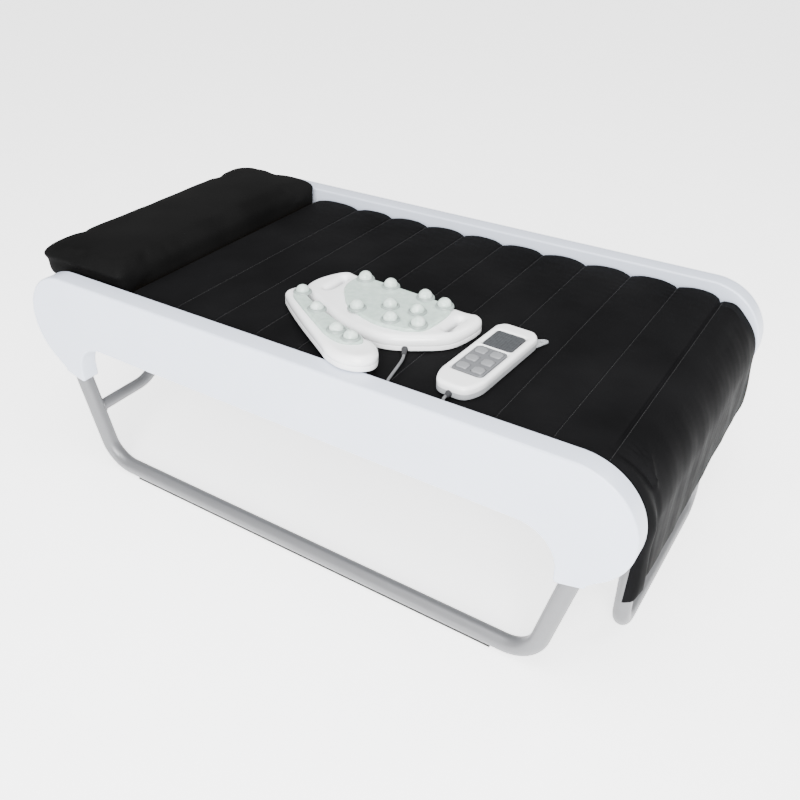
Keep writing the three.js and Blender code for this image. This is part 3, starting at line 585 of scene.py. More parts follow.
def plate_part(outline, low, top, radius, holes=(), foot=0.0008, crown=0.0, step=0.006):
    """A moulded plate: a plane outline with holes, rounded edges and a crowned top."""
    loops = [resampled(outline, 0.003)] + [resampled(hole, 0.0015) for hole in holes]
    insets = [radius * k for k in (0.03, 0.12, 0.28, 0.5, 0.75, 1.0)]
    points = [p for loop in loops for p in loop]
    for loop in loops:
        ahead = np.roll(loop, -1, 0) - np.roll(loop, 1, 0)
        normal = np.stack([-ahead[:, 1], ahead[:, 0]], 1)
        normal /= np.linalg.norm(normal, axis=1)[:, None]
        for inset in insets:
            for side in (1, -1):
                ring = loop + side * inset * normal
                keep = edge_distance(ring, loops) > inset * 0.97
                points.extend(ring[keep & within(ring, loops)])
    low_corner, high_corner = loops[0].min(0), loops[0].max(0)
    lines = [np.arange(a, b, step) for a, b in zip(low_corner, high_corner)]
    grid = np.stack(np.meshgrid(*lines), -1).reshape(-1, 2)
    keep = edge_distance(grid, loops) > radius + step * 0.4
    points.extend(grid[keep & within(grid, loops)])
    edges = []
    start = 0
    for loop in loops:
        edges.extend((start + k, start + (k + 1) % len(loop)) for k in range(len(loop)))
        start += len(loop)
    flat, _, triangles, *_ = delaunay_2d_cdt([Vector(p) for p in points], edges, [], 0, 1e-7)
    flat = np.array([tuple(p) for p in flat])
    middles = np.array([flat[list(t)].mean(0) for t in triangles])
    triangles = [tuple(t) for t, kept in zip(triangles, within(middles, loops)) if kept]
    used = sorted({i for t in triangles for i in t})
    index = {old: new for new, old in enumerate(used)}
    flat = flat[used]
    triangles = [tuple(index[i] for i in t) for t in triangles]
    distance = edge_distance(flat, loops)
    middle = (low_corner + high_corner) / 2
    across = ((flat - middle) / ((high_corner - low_corner) / 2)) ** 2
    upper = top - lip_height(distance, radius) - crown * np.clip(across.sum(1), 0, 1)
    lower = low + lip_height(distance, foot)
    count = len(flat)
    verts = [(*p, z) for p, z in zip(flat, upper)] + [(*p, z) for p, z in zip(flat, lower)]
    faces = triangles + [tuple(i + count for i in reversed(t)) for t in triangles]
    border = {}
    for t in triangles:
        for a, b in ((t[0], t[1]), (t[1], t[2]), (t[2], t[0])):
            if border.pop((b, a), None) is None:
                border[(a, b)] = True
    faces += [(b, a, a + count, b + count) for a, b in border]
    return verts, faces


def ripples(x, y, scale, seed=0.0):
    """A smooth, repeatable unevenness from -1 to 1, with waves about as long as scale."""
    k = 2 * math.pi / scale
    waves = ((0.83, 0.41, 1, 1.3, 1), (-0.52, 0.91, 1.27, 4.1, 2.1),
             (0.97, -0.33, 0.61, 2.7, -1), (0.21, 1.13, 1.71, 0.4, 3.3))
    return sum(np.sin(k * (a * x + b * y) * f + shift + c * seed) for a, b, f, shift, c in waves) / 4


# ---------- leads ----------
GUTTER_Y = -307.7
LEAD_Z = 313.3
SOCKET_Z = 323.0
SOCKET_X = -131.7
TURN_X = 446.0
LEAD_R = 2.5
MULTI_ROUTE = [
    (173.5, -223.8, 436.2), (177.5, -232, 436.5), (181.5, -245, 436.6), (184.5, -260, 436.2),
    (187, -275, 435.1), (189, -288, 433.8), (190.2, -297.5, 431.8), (191, -304.4, 425.5),
    (191.6, GUTTER_Y, 415), (192, GUTTER_Y, 393), (192.5, GUTTER_Y, 372), (194, GUTTER_Y, 350),
    (197, -306.5, 334), (203, -302, 322.5), (215, -294, 315.4), (234, -287, LEAD_Z),
    (270, -284, LEAD_Z), (320, -284, LEAD_Z),
    (390, -284, LEAD_Z), (TURN_X - 6, -283, LEAD_Z), (TURN_X + 16, -274, LEAD_Z),
    (TURN_X + 26, -251, LEAD_Z), (TURN_X + 16, -228, LEAD_Z), (TURN_X - 6, -219, LEAD_Z),
    (390, -218, LEAD_Z), (300, -218, LEAD_Z), (200, -220, LEAD_Z), (100, -230, LEAD_Z),
    (20, -246, LEAD_Z), (-50, -259, LEAD_Z + 2), (-96, -262, SOCKET_Z - 2),
    (-116, -262, SOCKET_Z - 0.3), (SOCKET_X, -262, SOCKET_Z),
]
HANDSET_ROUTE = [
    (293.7, -294.8, 438.4), (293.6, -298.5, 438), (293.6, -303.5, 434.6), (293.8, -306.8, 429),
    (294.2, GUTTER_Y, 421), (294.6, GUTTER_Y, 407), (295, GUTTER_Y, 390), (296, GUTTER_Y, 370),
    (298, GUTTER_Y, 350), (304, -306.8, 332), (314, -303, 321.5), (328, -299, 315.4),
    (346, -296.6, LEAD_Z), (380, -296, LEAD_Z), (420, -296, LEAD_Z), (TURN_X, -295, LEAD_Z),
    (TURN_X + 30, -281, LEAD_Z), (TURN_X + 42, -251, LEAD_Z), (TURN_X + 30, -221, LEAD_Z),
    (TURN_X, -207, LEAD_Z), (390, -206, LEAD_Z), (300, -205, LEAD_Z), (200, -204, LEAD_Z),
    (100, -204, LEAD_Z), (0, -204, LEAD_Z), (-60, -204, LEAD_Z + 2), (-96, -204, SOCKET_Z - 2),
    (-116, -204, SOCKET_Z - 0.3), (SOCKET_X, -204, SOCKET_Z),
]


def smooth_route(route, step=2.0):
    """A centripetal spline through the route's points, as evenly spaced points in metres."""
    p = [Vector(q) for q in route]
    p = [p[0] * 2 - p[1], *p, p[-1] * 2 - p[-2]]
    points = []
    for i in range(1, len(p) - 2):
        knots = [0.0]
        for a, b in zip(p[i - 1:i + 2], p[i:i + 3]):
            knots.append(knots[-1] + math.sqrt((b - a).length))
        count = max(2, round((p[i + 1] - p[i]).length / step))
        for k in range(count):
            t = knots[1] + (knots[2] - knots[1]) * k / count
            row = p[i - 1:i + 3]
            for level in range(1, 4):
                row = [
                    row[j] * ((knots[j + level] - t) / (knots[j + level] - knots[j]))
                    + row[j + 1] * ((t - knots[j]) / (knots[j + level] - knots[j]))
                    for j in range(len(row) - 1)
                ]
            points.append(row[0] * MM)
    points.append(Vector(route[-1]) * MM)
    return points


def make_lead(unit, route):
    """A unit's lead: out of its relief, down by the near panel and along the base to its socket."""
    path = smooth_route(route)
    name = f"{unit}_lead"
    piece = make_piece(name + "_jacket", *tube(path, LEAD_R * MM, 16), MATERIALS["lead_grey"])
    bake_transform(piece)
    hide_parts(name)


def strain_relief(unit, base, toward, length):
    """A rubber sleeve with flex grooves that tapers from a unit's wall to its lead."""
    profile = [(LEAD_R + 0.15, 0), (LEAD_R + 3.2, 0), (LEAD_R + 3.2, 1.2), (LEAD_R + 2.5, 1.8)]
    grooves = max(2, int(length / 3))
    for k in range(grooves):
        share = k / grooves
        r = LEAD_R + 2.5 - 1.6 * share
        h = 1.8 + (length - 2.6) * share
        wide = (length - 2.6) / grooves
        waist = r - 0.7
        steps = ((r, 0.1), (r, 0.5), (waist, 0.6), (waist, 0.9))
        profile += [(out, h + rise * wide) for out, rise in steps]
    profile += [(LEAD_R + 0.8, length - 0.6), (LEAD_R + 0.5, length), (LEAD_R + 0.15, length)]
    return add_piece(f"{unit}_relief_sleeve", turned(profile, mm(*base), toward, 28),
                     MATERIALS["relief_rubber"], unit, "relief_rubber", f"{unit}_relief", crease=50)


MULTI_RELIEF = strain_relief("multi_projector", (163.9, -205.5, 436.2), (0.464, -0.886, 0), 20)
HANDSET_RELIEF = strain_relief("handset", (294.2, -285.5, 438.4), (-0.05, -1, 0), 9)
make_lead("multi_projector", MULTI_ROUTE)
make_lead("handset", HANDSET_ROUTE)


# ---------- side panels ----------
PANEL_TOP = 444
PANEL_EDGE = 306
PANEL_LIP = 4.0
PANEL_HALF = 19.25
LOBE = {"r": 108, "x": 522, "z": 336, "end": -0.86}
ARCH_R = 67
BOSS = {"in": 516, "out": 566, "z": 214}
LEG_LEAN = 0.242
LEG_X = 534
LEG_Z = 193
TUBE_R = 16
SOCKET_GAP = 0.6
TUBE_Y = 330.75
BOSS_SCREW = {"x": 561.5, "y": TUBE_Y + 4, "z": 224.6}
FLOOR_RUN = 19


def arc_points(centre, radius, first, last, count):
    angles = np.linspace(first, last, count)
    return [(centre[0] + radius * math.cos(a), centre[1] + radius * math.sin(a)) for a in angles]


def panel_outline():
    """The panel's edge in X and Z: two round ends, bosses for the legs and the low edge's arch."""
    half = [(x, PANEL_TOP) for x in np.linspace(20, LOBE["x"] - 30, 14)]
    half += arc_points((LOBE["x"], LOBE["z"]), LOBE["r"], math.pi / 2, LOBE["end"], 48)
    start = np.array(half[-1])
    knee, end = np.array((575, 240)), np.array((BOSS["out"] + 1.5, BOSS["z"] + 19))
    for t in np.linspace(0, 1, 8)[1:]:
        half.append(tuple((1 - t) ** 2 * start + 2 * t * (1 - t) * knee + t * t * end))
    foot = [end, (BOSS["out"], BOSS["z"] + 12), (BOSS["in"], BOSS["z"]), (BOSS["in"], BOSS["z"] + 30)]
    corner = rounded(foot, 9)
    half += [tuple(p) for p in corner[7:21]]
    half += arc_points((BOSS["in"] - ARCH_R, PANEL_EDGE - ARCH_R), ARCH_R, 0, math.pi / 2, 26)
    half += [(x, PANEL_EDGE) for x in np.linspace(420, 20, 14)]
    return half + [(-x, z) for x, z in reversed(half)]


def legs_at(end, z):
    """A leg's X at a height: the legs lean inwards towards the floor."""
    return end * (LEG_X - LEG_LEAN * (LEG_Z - z))


def applied(piece):
    """The piece with its modifiers applied."""
    bpy.context.view_layer.update()
    made = bpy.data.meshes.new_from_object(piece.evaluated_get(bpy.context.evaluated_depsgraph_get()))
    piece.modifiers.clear()
    piece.data = made
    return piece


def carve(piece, *cutters):
    """Cuts other meshes out of a piece and removes them."""
    for cutter in cutters:
        step = piece.modifiers.new("cut", "BOOLEAN")
        step.operation = "DIFFERENCE"
        step.solver = "EXACT"
        step.object = cutter
    applied(piece)
    for cutter in cutters:
        bpy.data.objects.remove(cutter)


def make_panel(side, name):
    """One side panel: a moulding with rounded edges and two leg sockets."""
    outline = np.array(panel_outline(), float)
    ahead = np.roll(outline, -1, 0) - np.roll(outline, 1, 0)
    inward = np.stack([ahead[:, 1], -ahead[:, 0]], 1)
    inward /= np.linalg.norm(inward, axis=1)[:, None]
    rows = [(PANEL_LIP * (1 - math.sin(a)), PANEL_HALF - PANEL_LIP * (1 - math.cos(a)))
            for a in np.linspace(0, math.pi / 2, 7)]
    rows += [(inset, -across) for inset, across in reversed(rows)]
    rings = []
    for inset, across in rows:
        ring = outline + inward * inset
        rings.append([mm(x, side * (TUBE_Y + across), z) for x, z in ring])
    verts, faces = rings_to_mesh(rings)
    piece = make_piece(f"panel_{name}", verts, faces, MATERIALS["panel_white"])
    for face in piece.data.polygons[-2:]:
        face.use_smooth = False
    cutters = []
    for end, _ in ENDS:
        line = [mm(legs_at(end, z), side * TUBE_Y, z) for z in (150, 276)]
        socket = tube(line, (TUBE_R + SOCKET_GAP) * MM, 48)
        cutters.append(make_piece("cutter", *socket, MATERIALS["panel_white"]))
    carve(piece, *cutters)
    settle(piece, "bed", "panel_white", f"side_panel_{name}")


for panel_side in SIDES:
    make_panel(*panel_side)


def set_screw(name, x, y, z):
    """A socket-head grub screw that clamps a leg in its boss."""
    profile = [(0.01, 0), (2.9, 0), (3.2, -0.3), (3.2, -3), (0.01, -3)]
    add_piece(name, turned(profile, mm(x, y, z), (0.25, 0, -1), 24), MATERIALS["base_plastic"],
              "bed", "base_plastic", crease=35)


for screw_side, side_name in SIDES:
    for screw_end, end_name in ENDS:
        set_screw(f"boss_screw_{end_name}_{side_name}", screw_end * BOSS_SCREW["x"],
                  screw_side * BOSS_SCREW["y"], BOSS_SCREW["z"])


# ---------- tubes ----------
BRACE = {"low": 140, "high": 292, "y": 147, "bend": 70, "r": 12}
HOOP = {"r": 15, "y": 190, "z": 361, "start": 60, "foot": 590, "bend": 40}
TUBE_TOP = 274


def make_tube(name, corners, bend, radius, body, node, beads=()):
    path, radii = rounded_end(bent_path([mm(*c) for c in corners], bend * MM), radius * MM)
    parts = [rings_to_mesh(tube_rings(path, radii, 40))]
    parts += [tube(bead, bead_radii, 12, closed=True) for bead, bead_radii in beads]
    add_piece(name, merged(parts), MATERIALS["tube_silver"], body, "tube_silver", node)


def weld_bead(side):
    """The rippled bead where the brace's end is coped round a leg."""
    lean = Vector((LEG_LEAN * -1, 0, 1)).normalized()
    across = Vector((lean.z, 0, -lean.x))
    centre = Vector((legs_at(-1, BRACE["low"]), side * TUBE_Y, BRACE["low"]))
    points, radii = [], []
    for k in range(72):
        angle = 2 * math.pi * k / 72
        u, w = (BRACE["r"] + 0.8) * math.cos(angle), (BRACE["r"] + 0.8) * math.sin(angle)
        depth = math.sqrt(TUBE_R**2 - u * u)
        points.append((centre + across * u + lean * w - Vector((0, side * depth, 0))) * MM)
        radii.append((1.9 + 0.35 * math.sin(18 * angle)) * MM)
    return points, radii


for sled_side, sled_name in SIDES:
    sled_y = sled_side * TUBE_Y
    make_tube(f"sled_{sled_name}", [
        (legs_at(-1, TUBE_TOP), sled_y, TUBE_TOP),
        (legs_at(-1, FLOOR_RUN), sled_y, FLOOR_RUN),
        (legs_at(1, FLOOR_RUN), sled_y, FLOOR_RUN),
        (legs_at(1, TUBE_TOP), sled_y, TUBE_TOP),
    ], 65, TUBE_R, "bed", f"sled_tube_{sled_name}")



def with_mirror(half):
    """A route's near half, followed by the same points on the far side."""
    return half + [(x, -y, z) for x, y, z in reversed(half)]


brace_x = legs_at(-1, BRACE["low"])
make_tube("head_brace", with_mirror([
    (brace_x, 10 - TUBE_Y, BRACE["low"]),
    (brace_x, -BRACE["y"], BRACE["low"]),
    (brace_x, -BRACE["y"], BRACE["high"]),
]), BRACE["bend"], BRACE["r"], "bed", "head_brace_tube", [weld_bead(-1), weld_bead(1)])
make_tube("extension_hoop", with_mirror([
    (HOOP["start"], -HOOP["y"], HOOP["z"]),
    (HOOP["foot"], -HOOP["y"], HOOP["z"]),
    (HOOP["foot"], -HOOP["y"], HOOP["r"] + 0.6),
]), HOOP["bend"], HOOP["r"], "extension", "extension_frame")


STRIP = {"half_long": 420, "half_wide": 10, "low": 0.5, "high": 3.2, "rib": 0.8, "pitch": 2.8}


def make_strip(side, name):
    """A flat rubber strip under a sled tube, its sole ribbed along its length."""
    middle, long, rib = side * TUBE_Y, STRIP["half_long"], STRIP["rib"]
    body = (mm(-long, middle - STRIP["half_wide"], STRIP["low"]),
            mm(long, middle + STRIP["half_wide"], STRIP["high"]))
    parts = [box_part(*body, 0.0006)]
    for k in range(-3, 4):
        y = middle + STRIP["pitch"] * k
        parts.append(box_part(mm(2 - long, y - rib, 0), mm(long - 2, y + rib, 0.7), 0.0002))
    piece = make_piece(f"floor_strip_{name}", *merged(parts), MATERIALS["strip_rubber"], smooth=False)
    settle(piece, "bed", "strip_rubber", f"foot_strip_{name}")


for strip_side in SIDES:
    make_strip(*strip_side)


# ---------- quilted mat and leg flap ----------
MAT_HEAD = -396.0
MAT_TOP = 429.7
MAT_LOW = 403.6
CURVE_X = 524.0
CURVE_Z = 321.0
CURVE_R = 107.0
PITCH = 93.0
FLAP_END = 202.0
FLAP_THICK = 16.0
SPLIT = CURVE_R * math.pi / 4
HANG_WIDE = CURVE_X + CURVE_R * math.pi / 2 + CURVE_Z - 292
SEAM_FIRST = 466.0
CREASE = 552.0
WELL = {"head": -360.0, "foot": 300.0, "half": 100.0, "roof": 424.2}
FIRST_CHANNEL = 60
SEAMS = [SEAM_FIRST - PITCH * k for k in range(9, -1, -1)]
SEAMS = [seam for seam in SEAMS if seam > MAT_HEAD + FIRST_CHANNEL]
COVER_LINES = [MAT_HEAD, *SEAMS, CREASE]
COVER_END = CURVE_X + CURVE_R * math.pi / 2 + CURVE_Z - FLAP_END
COVER_HALF = 300.5
CHANNEL_PUFF = {"near": 3.5, "far": 6.0}
HEM_FLARE = 15
MAT_SKIN = MAT_TOP - MAT_LOW - 1.7


def along_cover(s):
    """Place and outward direction of the cover's line at s, which is X until the curve starts."""
    phi = np.clip((s - CURVE_X) / CURVE_R, 0, math.pi / 2)
    drop = np.clip(s - CURVE_X - CURVE_R * math.pi / 2, 0, None)
    flat = np.minimum(s, CURVE_X)
    x = flat + CURVE_R * np.sin(phi)
    z = CURVE_Z + CURVE_R * np.cos(phi) - drop
    return x, z, np.sin(phi), np.cos(phi)


def bell(d, width):
    return np.exp(-(d / width) ** 2)


def channel_fill(s):
    """0 at a seam and 1 in the middle of the channel between two seams."""
    fill = np.zeros(np.shape(s))
    for a, b in zip(COVER_LINES, COVER_LINES[1:]):
        c = (s - a) / (b - a)
        fill = np.where((c >= 0) & (c <= 1), 1 - np.abs(2 * c - 1) ** 2.6, fill)
    beyond = np.clip((s - CREASE) / 60, 0, 1)
    return np.where(s > CREASE, 1 - (1 - beyond) ** 2.6, fill)


def half_width(s, y):
    """Half the cover's width: the channels' ends puff out, and the hem spreads past the panels."""
    spread = np.clip((s - HANG_WIDE) / 90, 0, 1) ** 1.5
    puff = np.where(np.asarray(y) > 0, CHANNEL_PUFF["far"], CHANNEL_PUFF["near"]) * channel_fill(s)
    return COVER_HALF + puff + HEM_FLARE * spread


def cover_height(s, y):
    """How far the quilted face stands from the cover's line, in millimetres."""
    to_edge = half_width(s, y) - np.abs(y)
    height = np.full(np.broadcast(s, y).shape, MAT_TOP - CURVE_Z - CURVE_R)
    height = height * (1 - np.clip((s - 480) / 60, 0, 1))
    fill = channel_fill(s)
    sink = 2.2 + 6.0 * bell(to_edge, 13)
    height = height - sink * (1 - fill)
    for seam in COVER_LINES[1:]:
        groove, width = 1.0, 1.7
        if seam == CREASE:
            groove, width = 3.2 * np.clip((y + 272) / 50, 0, 1), 2.8
        near_seam = s - seam
        height = height - groove * bell(near_seam, width)
        pucker = np.sin(y / 2.9 + 1.7 * np.sin(y / 23.0 + seam)) * (0.6 + 0.4 * np.sin(y / 41.0 + seam))
        height = height + 0.42 * pucker * bell(np.abs(near_seam) - 6, 6)
    height = height + 0.8 * ripples(s, y, 140) * fill + 0.3 * ripples(s, y, 46, 1.0) * fill
    # the padding swells just past the crease, most of all towards the far side
    height = height + 3.6 * bell(s - CREASE - 26, 18) * (0.25 + 0.75 * np.clip((y + 130) / 330, 0, 1))
    # the rolled near edge that follows the panel round the curve
    roll = np.clip((s - CREASE + 22) / 40, 0, 1) * np.clip((s - 500) / 60, 0, 1)
    height = height + roll * (3.4 * bell(y + 286, 10) - 2.6 * bell(y + 262, 9))
    return height + corner_tucks(s, y, to_edge)


def corner_tucks(s, y, to_edge):
    """Tucks that gather at the near and far corners of the curve, and slack along the flap's edges."""
    total = np.zeros(np.broadcast(s, y).shape)
    gather = np.array((CREASE + 76, -256.0))
    for k, start_y in enumerate((-266, -252, -238, -222, -202)):
        first = np.array((CREASE + 4 + 2 * k, start_y))
        d = gather - first
        length = np.linalg.norm(d)
        t = ((s - first[0]) * d[0] + (y - first[1]) * d[1]) / length**2
        off = ((s - first[0]) * -d[1] + (y - first[1]) * d[0]) / length
        along = np.clip(t * (1.15 - t) * 3.2, 0, 1)
        total += along * (2.8 * bell(off - 4.6, 4.2) - 3.2 * bell(off, 3.0)) * (1 - 0.09 * k)
    for k, start_y in enumerate((262, 282)):
        off = (y - start_y) - 0.16 * (s - CREASE)
        total += 1.2 * bell(off, 4.0) * bell(s - CREASE - 22, 18) * (-1) ** k
    slack = np.clip((s - CREASE - 30) / 60, 0, 1)
    total += slack * 1.3 * bell(to_edge - 16, 11) * np.sin(s / 17.0 + np.sign(y))
    total += slack * 1.4 * ripples(s, y, 170, 2.0)
    return total


def rows_between(first, last):
    """Row places, close together at the seams and wide apart between them."""
    marks = {first, last, *np.arange(CREASE + 50, last, 5.0)}
    for seam in COVER_LINES:
        for offset in (0, 0.9, 1.9, 3.2, 5, 7.5, 11, 15.5, 21, 28, 36, 46.5):
            marks |= {seam - offset, seam + offset}
    kept = []
    for mark in sorted(m for m in marks if first <= m <= last):
        if not kept or mark - kept[-1] > 0.7:
            kept.append(mark)
    kept[-1] = last
    return np.array(kept)


EDGE_R = 12.0
EDGE_STEPS = 6


def column_places(near, far):
    """Across the cover: Y places and how far each is down the rounded edge."""
    middle = np.linspace(EDGE_R - near, far - EDGE_R, 149)
    turn = np.linspace(0, math.pi / 2, EDGE_STEPS + 1)[1:]
    out = EDGE_R * np.sin(turn)
    drops = EDGE_R * (1 - np.cos(turn))
    ys = np.concatenate([middle[0] - out[::-1], middle, middle[-1] + out])
    return ys, np.concatenate([drops[::-1], np.zeros(len(middle)), drops])


def cover_part(first, last):
    """The closed skin and padding of the cover between two places along it."""
    rows = rows_between(first, last)
    top, low, uv = [], [], []
    for s in rows:
        ys, drops = column_places(half_width(s, -1), half_width(s, 1))
        height = cover_height(np.full_like(ys, s), ys)
        if s > CREASE + 120:
            drops = drops * 0.62
        x, z, nx, nz = along_cover(s)
        thick = MAT_SKIN + (FLAP_THICK - MAT_SKIN) * np.clip((s - 505) / 40, 0, 1)
        level = height - drops
        end = min(abs(s - MAT_HEAD), COVER_END - s)
        level = level - lip_height(np.array(end + 0.01), 9.0)
        under = np.full_like(ys, -thick)
        in_well = (np.abs(ys) < WELL["half"] - 2) & (WELL["head"] + 2 < s < WELL["foot"] - 2)
        under[in_well] = WELL["roof"] - z
        for line, offsets in ((top, level), (low, under)):
            line.append(np.stack([x + nx * offsets, ys, z + nz * offsets], 1) * MM)
        uv.append(np.stack([np.full_like(ys, s), ys + drops], 1) * MM)
    count = len(ys)
    verts = np.concatenate([np.concatenate(top), np.concatenate(low)])
    base = len(rows) * count
    faces = []
    for i in range(len(rows) - 1):
        for k in range(count - 1):
            a = i * count + k
            faces.append((a, a + 1, a + count + 1, a + count))
            faces.append((base + a, base + a + count, base + a + count + 1, base + a + 1))
        for k in (0, count - 1):
            a = i * count + k
            faces.append((a, a + count, base + a + count, base + a))
    for i in (0, len(rows) - 1):
        for k in range(count - 1):
            a = i * count + k
            faces.append((a, a + 1, base + a + 1, base + a))
    return verts, faces, np.concatenate(uv + uv)


def make_cover(name, first, last):
    verts, faces, uv = cover_part(first, last)
    piece = make_piece(name, verts, faces, MATERIALS["mat_leather"])
    layer = piece.data.uv_layers.new(name="cover")
    corner = np.zeros(len(piece.data.loops), np.int64)
    piece.data.loops.foreach_get("vertex_index", corner)
    layer.data.foreach_set("uv", uv[corner].astype(np.float32).ravel())
    soften(piece, 60)
    return piece


def stitches(place, pitch=5.2, length=3.9):
    """A row of thread stitches that lie in the skin across the cover."""
    parts = []
    x, z, nx, nz = along_cover(place)
    for y in np.arange(-296, 296, pitch):
        points = []
        for t in (0, 0.15, 0.5, 0.85, 1):
            y_at = y + length * t
            height = float(cover_height(np.array(place), np.array(y_at)))
            lift = height + 0.35 * math.sin(math.pi * t) - 0.05
            points.append(mm(x + nx * lift, y_at, z + nz * lift))
        parts.append(tube(points, np.array([0.16, 0.34, 0.38, 0.34, 0.16]) * MM, 6))
    return merged(parts)


mat_cover = make_cover("quilted_mat", MAT_HEAD, CURVE_X + SPLIT)
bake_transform(mat_cover)
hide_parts("mat", "flap_curve")

flap_cover = make_cover("leg_flap_cover", CURVE_X + SPLIT, COVER_END)
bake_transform(flap_cover)
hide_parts("leg_flap")

thread_parts = [stitches(seam + 3.4) for seam in SEAMS] + [stitches(CREASE + 4.4)]
mat_thread = make_piece("mat_stitching", *merged(thread_parts), THREAD)
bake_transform(mat_thread)


# ---------- pillow ----------
PILLOW_LOW, PILLOW_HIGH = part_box("pillow")
PILLOW_SHRINK = 0.006
PILLOW_CAP = 0.009
PILLOW_HALF = 0.3105
CLOTH_FRAMES = 20


def pillow_body():
    """The pillow before it is filled: a boxed pad with round corners, larger at the head end."""
    x0, x1 = PILLOW_LOW.x + 0.004, PILLOW_HIGH.x - 0.002
    y = PILLOW_HIGH.y - 0.001
    outline = []
    for corner, radius in (((x1, y), 0.018), ((x0, y), 0.042), ((x0, -y), 0.022), ((x1, -y), 0.018)):
        sx, sy = (1 if corner[0] == x1 else -1), (1 if corner[1] > 0 else -1)
        centre = (corner[0] - sx * radius, corner[1] - sy * radius)
        first = math.atan2(sy, sx) - math.pi / 4
        outline += arc_points(centre, radius, first, first + math.pi / 2, 10)
    z0, z1 = PILLOW_LOW.z + 0.001, PILLOW_HIGH.z - PILLOW_SHRINK
    rings = []
    levels = ((0.016, z0), (0.004, z0 + 0.004), (0, z0 + 0.014), (0, z1 - 0.020),
              (0.003, z1 - 0.011), (0.010, z1 - 0.004), (0.020, z1))
    for inset, z in levels:
        centre = Vector(((x0 + x1) / 2, 0))
        ring = []
        for p in outline:
            out = Vector(p) - centre
            share = Vector((1 - inset / abs(x1 - x0) * 2, 1 - inset / y))
            ring.append((centre.x + out.x * share.x, out.y * share.y, z))
        rings.append(ring)
    return make_piece("pillow_cushion", *rings_to_mesh(rings), MATERIALS["pillow_leather"])


def inflate(piece, voxel, pressure, cap):
    """Fills a pad as cloth under pressure, moving no point further than the cap."""
    remesh = piece.modifiers.new("remesh", "REMESH")
    remesh.mode = "VOXEL"
    remesh.voxel_size = voxel
    applied(piece)
    start = np.array([v.co for v in piece.data.vertices])
    cloth = piece.modifiers.new("cloth", "CLOTH")
    fabric = cloth.settings
    fabric.use_pressure = True
    fabric.uniform_pressure_force = pressure
    fabric.quality = 5
    fabric.tension_stiffness = fabric.compression_stiffness = 15
    fabric.bending_stiffness = 0.6
    fabric.effector_weights.gravity = 0
    cloth.point_cache.frame_start = 1
    cloth.point_cache.frame_end = CLOTH_FRAMES
    for tick in range(1, CLOTH_FRAMES + 1):
        bpy.context.scene.frame_set(tick)
    applied(piece)
    bpy.context.scene.frame_set(1)
    moved = np.array([v.co for v in piece.data.vertices]) - start
    far = np.linalg.norm(moved, axis=1)
    moved *= np.minimum(1, cap / np.maximum(far, 1e-9))[:, None]
    return start + moved


def make_pillow():
    piece = pillow_body()
    co = inflate(piece, 0.005, 4.0, PILLOW_CAP)
    x, y, z = co.T
    high = np.clip((z - PILLOW_LOW.z - 0.03) / 0.03, 0, 1)
    z = z + 0.0008 * high * ripples(x, y, 0.16, 0.7)
    # above the panels' tops the cushion bulges out over them
    over = np.clip((z - PILLOW_LOW.z - 0.042) / 0.008, 0, 1)
    y = y * (1 + 0.03 * over)
    x = np.where(x < -0.6, x - 0.004 * over, x)
    co = np.stack([
        np.clip(x, PILLOW_LOW.x - 0.008, PILLOW_HIGH.x + 0.002),
        np.clip(y, -PILLOW_HALF - 0.01 * over, PILLOW_HALF + 0.01 * over),
        np.clip(z, PILLOW_LOW.z, None),
    ], 1)
    piece.data.vertices.foreach_set("co", co.astype(np.float32).ravel())
    smoothing = piece.modifiers.new("smooth", "SMOOTH")
    smoothing.iterations = 8
    smoothing.factor = 0.5
    fine = piece.modifiers.new("fine", "SUBSURF")
    fine.levels = 1
    fine.render_levels = 1
    applied(piece)
    piece.data.materials.clear()
    piece.data.materials.append(MATERIALS["pillow_leather"])
    piece.data.polygons.foreach_set("use_smooth", [True] * len(piece.data.polygons))
    settle(piece, "pillow", "pillow_leather", "pillow")


make_pillow()


# ---------- many-ball projector ----------
MULTI = {"low": 430.4, "split": 441.0, "top": 461.0, "ball": 468.0}
BALL_R = 12.5
MULTI_SPOTS = [
    (-82, -66), (-62, -45), (-30, -50), (60, -57), (196, -69), (226, -67), (241, -84), (236, -130),
    (220, -165), (182, -194), (140, -216), (100, -221), (36, -210), (-52, -167), (-91, -143),
    (-97, -106),
]
MULTI_BALLS = [
    (-8, -69), (48, -70), (124, -75), (169, -85), (90, -136), (141, -129), (45, -172), (117, -177),
    (166, -167),
]
MULTI_PAD = [
    (-28, -59), (60, -64), (150, -72), (186, -82), (190, -130), (184, -172), (158, -192), (104, -201),
    (50, -185), (18, -168), (-28, -112),
]


def in_metres(points):
    return np.array(points, float) * MM


def ball_part(x, y, z, low):
    """A polished ball and the dished collar that holds it."""
    steps = np.linspace(-0.62, math.pi / 2, 15)
    profile = [(BALL_R * math.cos(a), BALL_R * math.sin(a)) for a in steps]
    profile = [(0.01, profile[0][1])] + profile[:-1] + [(0.01, BALL_R)]
    section = ((0.5, -1), (4.6, -1), (4.0, 1.4), (2.6, 2.8), (1.2, 3.2), (0.4, 2.4))
    collar = [(BALL_R + out, low - z + up) for out, up in section]
    return [turned(shape, mm(x, y, z), (0, 0, 1), 40) for shape in (profile, collar)]


